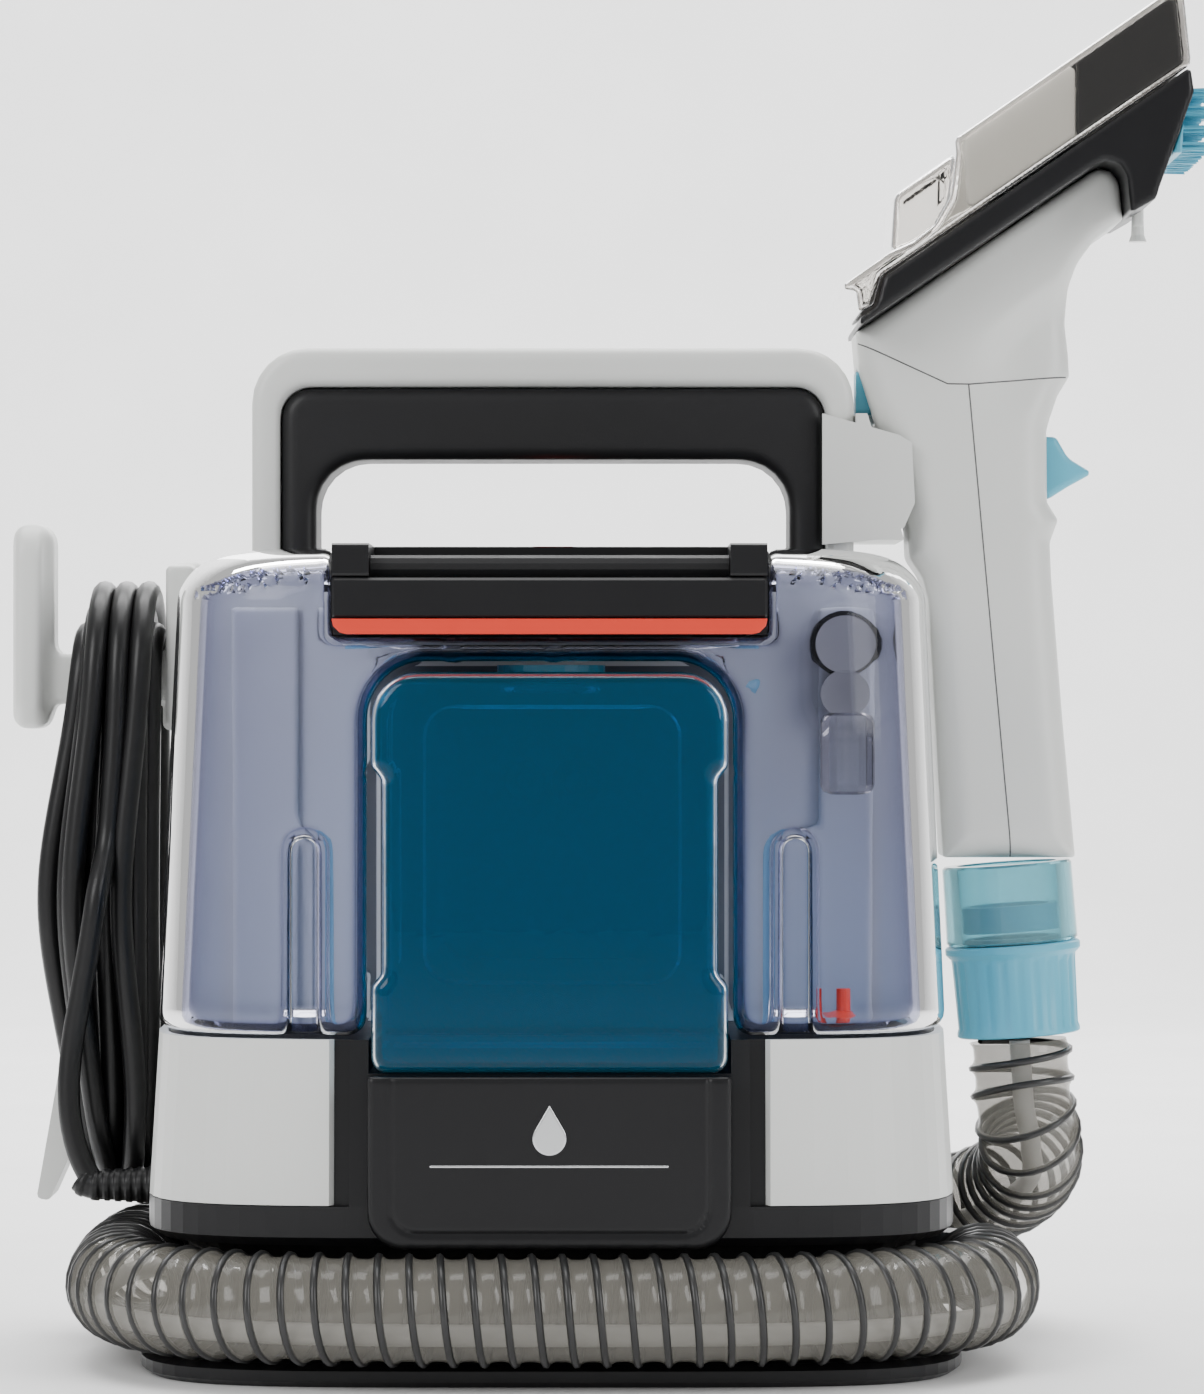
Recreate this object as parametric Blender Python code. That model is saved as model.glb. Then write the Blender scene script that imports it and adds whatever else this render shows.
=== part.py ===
"""Portable spot extractor: a body with two lift-out tanks, a hose round its waist and a hand tool.

Metres, +Z up. The origin is on the floor under the middle of the body, and the front faces -Y.
"""

import math

import bmesh
import bpy
from mathutils import Vector

# ---- driving dimensions ------------------------------------------------------------------
GAP = 0.0003            # clearance between neighbouring pieces
WALL = 0.003            # moulded wall thickness
BODY_Y = -0.0015        # middle of the body from front to back
CORNER = 5              # superellipse exponent of the body's plan
WAIST_CORNER = 3.2      # and of the waist that the hose wraps

BASE_TOP = 0.0070
CHANNEL_TOP = 0.0424
HOUSING_BOTTOM = 0.0428
PANEL_BOTTOM = 0.055
HOUSING_TOP = 0.106
HOUSING_HALF = (0.1275, 0.0935)
HOUSING_TOP_HALF = (0.1245, 0.0920)

TANK_BOTTOM = 0.107
TANK_TOP = 0.258
TANK_BACK = -0.012
NOTCH_HALF = 0.0562
NOTCH_TOP = 0.222
LID_HALF = 0.0665
LID_FLOOR = 0.230

BLUE_HALF = 0.0545
BLUE_BOTTOM = 0.096
BLUE_TOP = 0.2186
BLUE_FRONT = -0.101
BLUE_BACK = -0.016

TOWER_FRONT = -0.008
TOWER_TOP = 0.250
DECK_TOP = 0.2575

HANDLE_HALF = 0.098
HANDLE_TOP = 0.3247
GRIP_OUTER = 0.0885
GRIP_INNER = 0.077
GRIP_TOP = 0.3117
GRIP_UNDER = 0.2883

TOOL_Y = 0.022          # mid-plane of the hand tool
TOOL_HALF = 0.021
NOZZLE_HALF = 0.041
TOOL_TILT = math.radians(4.2)

HOSE_RADIUS = 0.0175
HOSE_LEVEL = 0.0248
CORD_RADIUS = 0.00375
HOOK_Y = 0.040
LOWER_HOOK_Z = 0.0720
UPPER_HOOK_Z = 0.217
ARM_RADIUS = 0.012
ARM_HALF = 0.0083

WHITE = ("white_plastic", (0.64, 0.645, 0.62), 0.42)
BLACK = ("black_plastic", (0.017, 0.017, 0.019), 0.45)
RED = ("red_plastic", (0.66, 0.035, 0.02), 0.35)
TURQUOISE = ("turquoise_plastic", (0.10, 0.42, 0.56), 0.4)
CLEAR = ("clear_violet_plastic", (0.45, 0.48, 0.72), 0.08)
BLUE = ("clear_blue_plastic", (0.0, 0.17, 0.30), 0.08)
SMOKE = ("clear_smoke_plastic", (0.50, 0.46, 0.40), 0.08)
TEAL = ("clear_teal_plastic", (0.11, 0.35, 0.40), 0.15)
GREY = ("grey_plastic", (0.16, 0.16, 0.17), 0.4)
RUBBER = ("black_rubber", (0.012, 0.012, 0.012), 0.75)
STEEL = ("steel", (0.55, 0.55, 0.55), 0.3, 1.0)
BRASS = ("copper_winding", (0.55, 0.25, 0.10), 0.4, 1.0)
BOARD = ("circuit_board_green", (0.02, 0.16, 0.07), 0.5)


# ---- scene and materials -----------------------------------------------------------------
def clear_scene():
    for found in list(bpy.data.objects):
        bpy.data.objects.remove(found)


def material(spec):
    name, colour, roughness = spec[:3]
    found = bpy.data.materials.get(name)
    if found:
        return found
    made = bpy.data.materials.new(name)
    made.use_nodes = True
    shader = made.node_tree.nodes["Principled BSDF"]
    shader.inputs["Base Color"].default_value = (*colour, 1.0)
    shader.inputs["Roughness"].default_value = roughness
    shader.inputs["Metallic"].default_value = spec[3] if len(spec) > 3 else 0.0
    made.diffuse_color = (*colour, 1.0)
    return made


def add(name, bm, spec, origin=(0, 0, 0)):
    """Makes the bmesh an object whose origin lies at the given point."""
    bmesh.ops.recalc_face_normals(bm, faces=bm.faces)
    mesh = bpy.data.meshes.new(name)
    for vert in bm.verts:
        vert.co -= Vector(origin)
    bm.to_mesh(mesh)
    bm.free()
    own = material(spec).copy()
    own.name = f"{name}_{spec[0]}"
    mesh.materials.append(own)
    mesh.shade_smooth()
    mesh.set_sharp_from_angle(angle=math.radians(32))
    obj = bpy.data.objects.new(name, mesh)
    obj.location = origin
    bpy.context.collection.objects.link(obj)
    return obj


def boolean(obj, bm, operation="DIFFERENCE"):
    """Combines the object with a hidden cutter made from the bmesh."""
    cutter = add(f"cutter_{len(bpy.data.objects)}", bm, GREY)
    cutter.hide_render = True
    cutter.display_type = "WIRE"
    modifier = obj.modifiers.new(operation.lower(), "BOOLEAN")
    modifier.operation = operation
    modifier.solver = "EXACT"
    modifier.object = cutter
    return cutter


def bevel(obj, width, segments=2, angle=35):
    modifier = obj.modifiers.new("edge", "BEVEL")
    modifier.width = width
    modifier.segments = segments
    modifier.limit_method = "ANGLE"
    modifier.angle_limit = math.radians(angle)
    return obj


# ---- shape makers ------------------------------------------------------------------------
def loft(rings, closed=False):
    """A solid through rings of equal point counts: capped, or joined end to start."""
    bm = bmesh.new()
    rows = [[bm.verts.new(point) for point in ring] for ring in rings]
    pairs = list(zip(rows, rows[1:]))
    if closed:
        pairs.append((rows[-1], rows[0]))
    for low, high in pairs:
        for i in range(len(low)):
            j = (i + 1) % len(low)
            bm.faces.new((low[i], low[j], high[j], high[i]))
    if not closed:
        bm.faces.new(list(reversed(rows[0])))
        bm.faces.new(rows[-1])
    return bm


def prism(outline, axis, low, high):
    """An outline extruded along an axis. The outline is (x, z) for Y, (y, z) for X, (x, y) for Z."""
    place = {
        "X": lambda p, t: (t, p[0], p[1]),
        "Y": lambda p, t: (p[0], t, p[1]),
        "Z": lambda p, t: (p[0], p[1], t),
    }[axis]
    return loft([[place(p, t) for p in outline] for t in (low, high)])


def box(low, high):
    outline = [(low[0], low[1]), (high[0], low[1]), (high[0], high[1]), (low[0], high[1])]
    return prism(outline, "Z", low[2], high[2])


def fillet(points, radii, steps=5):
    """The polygon with each corner rounded to its radius."""
    if not isinstance(radii, (list, tuple)):
        radii = [radii] * len(points)
    out = []
    for i, corner in enumerate(points):
        here = Vector(corner)
        radius = radii[i]
        if radius <= 0:
            out.append(tuple(here))
            continue
        back = (Vector(points[i - 1]) - here).normalized()
        ahead = (Vector(points[(i + 1) % len(points)]) - here).normalized()
        half = back.angle(ahead) / 2
        reach = radius / math.tan(half)
        centre = here + (back + ahead).normalized() * (radius / math.sin(half))
        start = here + back * reach - centre
        end = here + ahead * reach - centre
        for step in range(steps + 1):
            t = step / steps
            out.append(tuple(centre + (start.lerp(end, t)).normalized() * radius))
    return out


def rectangle(x0, x1, z0, z1, radius=0.0, steps=4):
    corners = [(x0, z0), (x1, z0), (x1, z1), (x0, z1)]
    return fillet(corners, radius, steps) if radius else corners


def plan_point(a, b, angle, corner=CORNER):
    cos, sin = math.cos(angle), math.sin(angle)
    power = 2 / corner
    x = math.copysign(abs(cos) ** power, cos) * a
    y = math.copysign(abs(sin) ** power, sin) * b
    return x, y + BODY_Y


def plan_ring(z, a, b, corner=CORNER, count=56):
    """One level of the body's plan, a superellipse with half-axes a and b."""
    return [(*plan_point(a, b, (i + 0.5) / count * math.tau, corner), z) for i in range(count)]


def side_band(z, outer, inner, limit, side, count=22):
    """A closed strip round one side of the body, where |x| is over limit."""
    reach = math.acos((limit / outer[0]) ** (CORNER / 2))
    angles = [-reach + 2 * reach * i / count for i in range(count + 1)]
    turn = 0.0 if side > 0 else math.pi
    out = [plan_point(*outer, a + turn) for a in angles]
    back = [plan_point(*inner, a + turn) for a in reversed(angles)]
    return [(x, y, z) for x, y in out + back]


def revolve(profile, base, direction=(0, 0, 1), count=24):
    """A solid turned about the line from base along direction; profile is closed, as (radius, height)."""
    axis = Vector(direction).normalized()
    side = axis.orthogonal().normalized()
    other = axis.cross(side)
    bm = bmesh.new()
    rows = []
    for radius, height in profile:
        middle = Vector(base) + axis * height
        if radius == 0:
            rows.append([bm.verts.new(middle)])
            continue
        turns = [math.tau * i / count for i in range(count)]
        rows.append([
            bm.verts.new(middle + (side * math.cos(t) + other * math.sin(t)) * radius)
            for t in turns
        ])
    for low, high in zip(rows, rows[1:] + rows[:1]):
        if len(low) == 1 and len(high) == 1:
            continue
        for i in range(count):
            j = (i + 1) % count
            face = [low[i % len(low)], low[j % len(low)], high[j % len(high)], high[i % len(high)]]
            bm.faces.new(list(dict.fromkeys(face)))
    return bm


def rod(start, end, radius, count=16):
    span = Vector(end) - Vector(start)
    profile = [(0, 0), (radius, 0), (radius, span.length), (0, span.length)]
    return revolve(profile, start, span, count)


def tube(start, end, outer, inner, count=20):
    span = Vector(end) - Vector(start)
    profile = [(inner, 0), (outer, 0), (outer, span.length), (inner, span.length)]
    return revolve(profile, start, span, count)


def smooth_path(points, spacing):
    """Points at about the given spacing on the Catmull-Rom curve through the route."""
    route = [Vector(p) for p in points]
    fine = []
    for i in range(len(route) - 1):
        before = route[max(i - 1, 0)]
        here, there = route[i], route[i + 1]
        after = route[min(i + 2, len(route) - 1)]
        for step in range(20):
            t = step / 20
            fine.append(0.5 * (
                2 * here + (there - before) * t
                + (2 * before - 5 * here + 4 * there - after) * t ** 2
                + (3 * here - before - 3 * there + after) * t ** 3
            ))
    fine.append(route[-1])
    lengths = [0.0]
    for a, b in zip(fine, fine[1:]):
        lengths.append(lengths[-1] + (b - a).length)
    count = max(2, round(lengths[-1] / spacing))
    picked = []
    for i in range(count + 1):
        target = lengths[-1] * i / count
        k = max(j for j, done in enumerate(lengths) if done <= target + 1e-9)
        if k == len(fine) - 1:
            picked.append(fine[-1])
            continue
        share = (target - lengths[k]) / (lengths[k + 1] - lengths[k])
        picked.append(fine[k].lerp(fine[k + 1], share))
    return picked


def cord(name, route, radius, spec, spacing, sides=4):
    curve = bpy.data.curves.new(name, "CURVE")
    curve.dimensions = "3D"
    curve.bevel_depth = radius
    curve.bevel_resolution = sides
    curve.use_fill_caps = True
    curve.render_resolution_u = 0
    points = smooth_path(route, spacing)
    spline = curve.splines.new("POLY")
    spline.points.add(len(points) - 1)
    for point, place in zip(spline.points, points):
        point.co = (*place, 1.0)
    own = material(spec).copy()
    own.name = f"{name}_{spec[0]}"
    curve.materials.append(own)
    obj = bpy.data.objects.new(name, curve)
    bpy.context.collection.objects.link(obj)
    return obj


def pipe(path, outer, inner, count=16):
    """A hollow tube along a path that lies in a level plane."""
    points = [Vector(p) for p in path]
    rings = []
    for radius, order in ((outer, range(len(points))), (inner, reversed(range(len(points))))):
        for i in order:
            ahead = points[min(i + 1, len(points) - 1)] - points[max(i - 1, 0)]
            side = ahead.cross(Vector((0, 0, 1))).normalized()
            rings.append([
                points[i] + side * math.cos(t) * radius + Vector((0, 0, math.sin(t) * radius))
                for t in (math.tau * k / count for k in range(count))
            ])
    return loft(rings, closed=True)


# ---- base and lower body -----------------------------------------------------------------
def make_base():
    base = add("base_plate", loft([
        plan_ring(0.0, 0.1275, 0.0950),
        plan_ring(0.0018, 0.1300, 0.0975),
        plan_ring(0.0052, 0.1300, 0.0975),
        plan_ring(BASE_TOP, 0.1262, 0.0938),
    ]), BLACK)
    for name, x in (("rubber_foot_left", -0.098), ("rubber_foot_right", 0.098)):
        pocket = rectangle(x - 0.010, x + 0.010, -0.068, 0.060, 0.008)
        boolean(base, prism(pocket, "Z", -0.002, 0.003))
        foot = rectangle(x - 0.0097, x + 0.0097, -0.0677, 0.0597, 0.0077)
        add(name, prism(foot, "Z", 0.0, 0.0027), RUBBER)


def make_channel():
    outer = [(BASE_TOP + GAP, 0.1190, 0.0870), (0.011, 0.1170, 0.0850)]
    outer += [(0.038, 0.1170, 0.0850), (CHANNEL_TOP, 0.1190, 0.0870)]
    rings = [plan_ring(*level, WAIST_CORNER) for level in outer]
    rings += [plan_ring(z, 0.1135, 0.0815, WAIST_CORNER) for z in (CHANNEL_TOP, BASE_TOP + GAP)]
    channel = add("hose_channel", loft(rings, closed=True), BLACK)
    boolean(channel, rod((0.105, 0.012, HOSE_LEVEL), (0.130, 0.012, HOSE_LEVEL), 0.0129))


def make_housing():
    top_a, top_b = HOUSING_TOP_HALF
    housing = add("lower_housing", loft([
        plan_ring(HOUSING_BOTTOM, 0.1245, 0.0905),
        plan_ring(0.0455, *HOUSING_HALF),
        plan_ring(PANEL_BOTTOM, *HOUSING_HALF),
        plan_ring(HOUSING_TOP, top_a, top_b),
    ]), BLACK)
    cavity_a, cavity_b = HOUSING_HALF[0] - 0.0095, HOUSING_HALF[1] - 0.0095
    boolean(housing, loft([
        plan_ring(0.030, cavity_a, cavity_b),
        plan_ring(0.0925, cavity_a - 0.002, cavity_b),
    ]))
    boolean(housing, box((-0.0555, -0.130, 0.0957), (0.0555, BLUE_BACK + GAP, 0.2)))
    for side, name in ((-1, "side_panel_left"), (1, "side_panel_right")):
        levels = ((PANEL_BOTTOM, HOUSING_HALF), (HOUSING_TOP, HOUSING_TOP_HALF))
        recess = [
            side_band(z, (a + 0.012, b + 0.012), (a - 0.0031, b - 0.0031), 0.0672, side)
            for z, (a, b) in ((PANEL_BOTTOM, HOUSING_HALF), (HOUSING_TOP + 0.001, HOUSING_TOP_HALF))
        ]
        boolean(housing, loft(recess))
        panel = [
            side_band(z + (GAP if z == PANEL_BOTTOM else 0), (a, b), (a - 0.0027, b - 0.0027),
                      0.0676, side)
            for z, (a, b) in levels
        ]
        add(name, loft(panel), WHITE)
    corners = [(-0.0555, 0.0426), (0.0555, 0.0426), (0.0555, 0.0954), (-0.0555, 0.0954)]
    badge = fillet(corners, [0.014, 0.014, 0.002, 0.002], 5)
    bevel(add("badge_panel", prism(badge, "Y", -0.102, -0.0954), BLACK), 0.0015, 2)


# ---- rear tower, deck and handle ---------------------------------------------------------
def make_tower():
    tower = add("tower_shell", loft([
        plan_ring(HOUSING_TOP + GAP, 0.1200, 0.0925),
        plan_ring(0.2380, 0.1160, 0.0900),
        plan_ring(0.2460, 0.1120, 0.0865),
        plan_ring(TOWER_TOP, 0.1040, 0.0800),
    ]), WHITE)
    boolean(tower, box((-0.2, TOWER_FRONT, 0.05), (0.2, 0.2, 0.3)), "INTERSECT")
    room = add("cutter_tower_room", loft([
        plan_ring(0.090, 0.1170, 0.0895),
        plan_ring(0.2370, 0.1125, 0.0865),
        plan_ring(TOWER_TOP - WALL, 0.1010, 0.0765),
    ]), GREY)
    room.hide_render = True
    room.display_type = "WIRE"
    boolean(room, box((-0.2, TOWER_FRONT + WALL, 0.05), (0.2, 0.2, 0.3)), "INTERSECT")
    cut = tower.modifiers.new("room", "BOOLEAN")
    cut.solver = "EXACT"
    cut.object = room
    boolean(tower, box((-0.0072, 0.0018, 0.24), (0.0072, 0.0262, 0.26)))
    boolean(tower, rod((0.094, -0.02, 0.228), (0.094, 0.0, 0.228), 0.0075))
    front = rectangle(-0.0555, 0.0555, HOUSING_TOP + GAP, 0.2210, 0.006)
    add("tower_front_panel", prism(front, "Y", -0.0112, TOWER_FRONT - GAP), GREY)
    deck = rectangle(-0.0762, 0.0762, -0.0078, 0.060, 0.004)
    top = add("top_deck", prism(deck, "Z", TOWER_TOP + GAP, DECK_TOP), BLACK)
    boolean(top, box((-0.0070, 0.0020, 0.24), (0.0070, 0.0260, 0.27)))
    button = rectangle(-0.0066, 0.0066, 0.0024, 0.0256, 0.0015)
    add("power_button", prism(button, "Z", 0.2478, 0.2600), RED, (0, 0.014, 0.2478))
    add("power_switch", box((-0.006, 0.005, 0.2330), (0.006, 0.023, 0.2448)), GREY)


def u_outline(half, top, inner_half, inner_top, radius, inner_radius, bottom):
    corners = [(-half, bottom), (-half, top), (half, top), (half, bottom)]
    corners += [(inner_half, bottom), (inner_half, inner_top)]
    corners += [(-inner_half, inner_top), (-inner_half, bottom)]
    return fillet(corners, [0, radius, radius, 0, 0, inner_radius, inner_radius, 0], 6)


def make_handle():
    foot = TOWER_TOP + GAP
    shell = u_outline(HANDLE_HALF, HANDLE_TOP, GRIP_OUTER + GAP, GRIP_TOP + GAP, 0.018, 0.010, foot)
    bevel(add("handle_shell", prism(shell, "Y", 0.0, 0.038), WHITE), 0.003, 2)
    grip = u_outline(GRIP_OUTER, GRIP_TOP, GRIP_INNER, GRIP_UNDER, 0.0097, 0.016, foot)
    bevel(add("handle_grip", prism(grip, "Y", 0.001, 0.037), BLACK), 0.003, 2)


def make_dock():
    web = [(0.0984, 0.262), (0.1140, 0.262), (0.1020, 0.303), (0.0984, 0.303)]
    dock = add("tool_dock", prism(web, "Y", -0.004, 0.048), WHITE)
    plate = [(0.0875, 0.3030), (0.1125, 0.2960), (0.1165, 0.2935), (0.1175, 0.2740),
             (0.1140, 0.2660), (0.1050, 0.2620), (0.0875, 0.2605)]
    boolean(dock, prism(plate, "Y", -0.0040, -0.0004), "UNION")
    rear = [(0.0984, 0.3025)] + [(x, z) for x, z in plate[1:6]] + [(0.0984, 0.2625)]
    boolean(dock, prism(rear, "Y", 0.0446, 0.0480), "UNION")


# ---- cord hooks, hose elbow and cords ----------------------------------------------------
def make_hooks():
    high, low = UPPER_HOOK_Z + ARM_HALF, UPPER_HOOK_Z - ARM_HALF
    upper = fillet([
        (-0.1175, 0.200), (-0.1175, 0.255), (-0.1235, 0.255), (-0.1275, high),
        (-0.1662, high), (-0.1662, 0.267), (-0.1780, 0.267), (-0.1780, 0.202),
        (-0.1700, 0.202), (-0.1660, low), (-0.1290, low), (-0.1290, 0.200),
    ], [0, 0.001, 0.003, 0.003, 0.004, 0.005, 0.005, 0.004, 0.003, 0.003, 0, 0], 3)
    hook = add("upper_cord_hook", prism(upper, "Y", HOOK_Y - ARM_HALF, HOOK_Y + ARM_HALF), WHITE)
    paddle = rectangle(-0.1780, -0.1662, 0.202, 0.267, 0.004, 3)
    boolean(hook, prism(paddle, "Y", HOOK_Y - 0.016, HOOK_Y + 0.016), "UNION")
    foot = [(-0.1175, 0.200), (-0.1175, 0.255), (-0.1225, 0.255), (-0.1285, 0.200)]
    boolean(hook, prism(foot, "Y", HOOK_Y - 0.018, HOOK_Y + 0.018), "UNION")
    pin_z = LOWER_HOOK_Z
    add("hook_pivot", rod((-0.1278, HOOK_Y, pin_z), (-0.1500, HOOK_Y, pin_z), 0.0040), STEEL)
    lower = fillet([
        (-0.1285, pin_z - ARM_HALF), (-0.1285, pin_z + ARM_HALF), (-0.1590, pin_z + ARM_HALF),
        (-0.1590, 0.092), (-0.1630, 0.092), (-0.1712, 0.045), (-0.1670, 0.0445),
        (-0.1600, pin_z - ARM_HALF),
    ], [0.002, 0.002, 0.002, 0.002, 0.002, 0.002, 0.002, 0.002], 3)
    centre = (-0.1285, HOOK_Y, pin_z)
    swivel = add("lower_cord_hook", prism(lower, "Y", HOOK_Y - ARM_HALF, HOOK_Y + ARM_HALF), WHITE,
                 centre)
    blade = fillet([(-0.1590, 0.092), (-0.1630, 0.092), (-0.1712, 0.045), (-0.1668, 0.0445),
                    (-0.1590, 0.062)], [0.0015] * 5, 2)
    boolean(swivel, prism(blade, "Y", HOOK_Y - 0.011, HOOK_Y + 0.011), "UNION")
    boolean(swivel, rod((-0.1200, HOOK_Y, pin_z), (-0.1525, HOOK_Y, pin_z), 0.0043))


def coil_section(angle_share):
    """One rectangle of the wound cord's outer shape, at a share of the way round its loop."""
    straight = UPPER_HOOK_Z - LOWER_HOOK_Z
    inner = ARM_RADIUS + 0.0006
    arc = math.pi * inner
    total = 2 * (straight + arc)
    s = angle_share * total
    if s < straight:
        centre, out = (HOOK_Y, LOWER_HOOK_Z + s), (-1, 0)
    elif s < straight + arc:
        turn = (s - straight) / inner
        centre, out = (HOOK_Y, UPPER_HOOK_Z), (-math.cos(turn), math.sin(turn))
    elif s < 2 * straight + arc:
        centre, out = (HOOK_Y, UPPER_HOOK_Z - (s - straight - arc)), (1, 0)
    else:
        turn = (s - 2 * straight - arc) / inner
        centre, out = (HOOK_Y, LOWER_HOOK_Z), (math.cos(turn), -math.sin(turn))
    level = min(max((centre[1] + out[1] * inner - LOWER_HOOK_Z) / 0.012 + 1, 0.0), 1.0)
    outer = inner + 0.016 + 0.004 * level
    height = centre[1] + out[1] * outer
    bulge = min(max((height - 0.100) / 0.035, 0.0), 1.0) * min(max((0.200 - height) / 0.020, 0.0), 1.0)
    spread = 0.012 * bulge
    lift = 0.004 * bulge
    left = -0.1572 - spread
    near = [centre[k] + out[k] * (inner + lift) for k in range(2)]
    far = [centre[k] + out[k] * (outer + lift) for k in range(2)]
    right = -0.1300
    return [(left, *near), (right, *near), (right, *far), (left, *far)]


def make_coil():
    count = 40
    rings = [coil_section((i + 0.5) / count) for i in range(count)]
    add("cord_coil", loft(rings, closed=True), RUBBER)


def make_mains_lead():
    relief = [(0.0, 0.0), (0.0068, 0.0), (0.0068, 0.003), (0.0056, 0.004), (0.0046, 0.0148), (0.0, 0.0148)]
    add("strain_relief", revolve(relief, (-0.1279, -0.006, 0.053), (-1, 0, 0), 12), RUBBER)
    lead = [(-0.1435, -0.006, 0.053), (-0.1500, -0.006, 0.0532), (-0.1545, -0.005, 0.0565),
            (-0.1585, -0.005, 0.0660), (-0.1590, -0.004, 0.080), (-0.1570, -0.0025, 0.097),
            (-0.1530, -0.0025, 0.115), (-0.1490, -0.0025, 0.135), (-0.1480, -0.0025, 0.150)]
    cord("cord_lead", lead, CORD_RADIUS, RUBBER, 0.010, 2)
    tail = [(-0.1450, 0.0815, 0.150), (-0.1450, 0.0830, 0.140), (-0.1452, 0.0845, 0.128),
            (-0.1455, 0.0850, 0.1200), (-0.1455, 0.0850, 0.1165)]
    cord("cord_tail", tail, CORD_RADIUS, RUBBER, 0.012, 2)
    plug = [(0.0, 0.0), (0.0052, 0.0), (0.0062, 0.010), (0.0115, 0.016), (0.0115, 0.036), (0.0, 0.036)]
    body = add("mains_plug", revolve(plug, (-0.1455, 0.0850, 0.1160), (0, 0, -1), 16), RUBBER)
    for x in (-0.1518, -0.1392):
        boolean(body, box((x - 0.0008, 0.0818, 0.0640), (x + 0.0008, 0.0882, 0.0850)), "UNION")


HOSE_ROUTE = [
    (0.1375, -0.0172, 0.0248), (0.1375, -0.0400, 0.0248), (0.1325, -0.0600, 0.0248),
    (0.1180, -0.079, 0.0248), (0.0900, -0.0975, 0.0248), (0.0500, -0.1055, 0.0248),
    (0.0000, -0.1070, 0.0248), (-0.0500, -0.1055, 0.0248), (-0.0900, -0.0975, 0.0248),
    (-0.1180, -0.079, 0.0248), (-0.1340, -0.052, 0.0248), (-0.1380, -0.020, 0.0248),
    (-0.1380, 0.015, 0.0248), (-0.1340, 0.048, 0.0248), (-0.1180, 0.076, 0.0248),
    (-0.0900, 0.0960, 0.0248), (-0.0500, 0.1050, 0.0248), (0.0000, 0.1072, 0.0248),
    (0.0550, 0.1080, 0.0252), (0.1000, 0.1060, 0.0290), (0.1330, 0.0930, 0.0355),
    (0.1510, 0.0720, 0.0440), (0.1580, 0.0490, 0.0530), (0.1580, 0.0300, 0.0630),
]


def make_hose():
    cuff_end = [tool_axis(distance) for distance in (0.0545, 0.0430, 0.0322)]
    cord("hose", HOSE_ROUTE + cuff_end, HOSE_RADIUS, SMOKE, 0.022, 4)
    centre = Vector((0.1375 - 0.014, -0.0020, HOSE_LEVEL))
    bend = [
        centre + Vector((math.sin(t) * 0.014, math.cos(t) * 0.014, 0))
        for t in (math.radians(90 * k / 6) for k in range(7))
    ]
    path = [Vector((0.1090, 0.012, HOSE_LEVEL)), Vector((0.1200, 0.012, HOSE_LEVEL)), *bend]
    path.append(Vector((0.1375, -0.0162, HOSE_LEVEL)))
    add("hose_elbow", pipe(path, 0.0125, 0.0105), BLACK)


# ---- clear recovery tank -----------------------------------------------------------------
TANK_LEVELS = [
    (TANK_BOTTOM, 0.1250, 0.0955), (0.2400, 0.1187, 0.0935), (0.2480, 0.1155, 0.0905),
    (0.2540, 0.1080, 0.0830), (TANK_TOP, 0.0920, 0.0670),
]


def tank_loft(inset, bottom, top):
    """The tank's outer form, pulled in by inset all round."""
    rings = []
    for z, a, b in TANK_LEVELS:
        height = min(max(z - (inset if z > 0.2 else 0), bottom), top)
        rings.append(plan_ring(height, a - inset, b - inset))
    return loft(rings)


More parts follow.
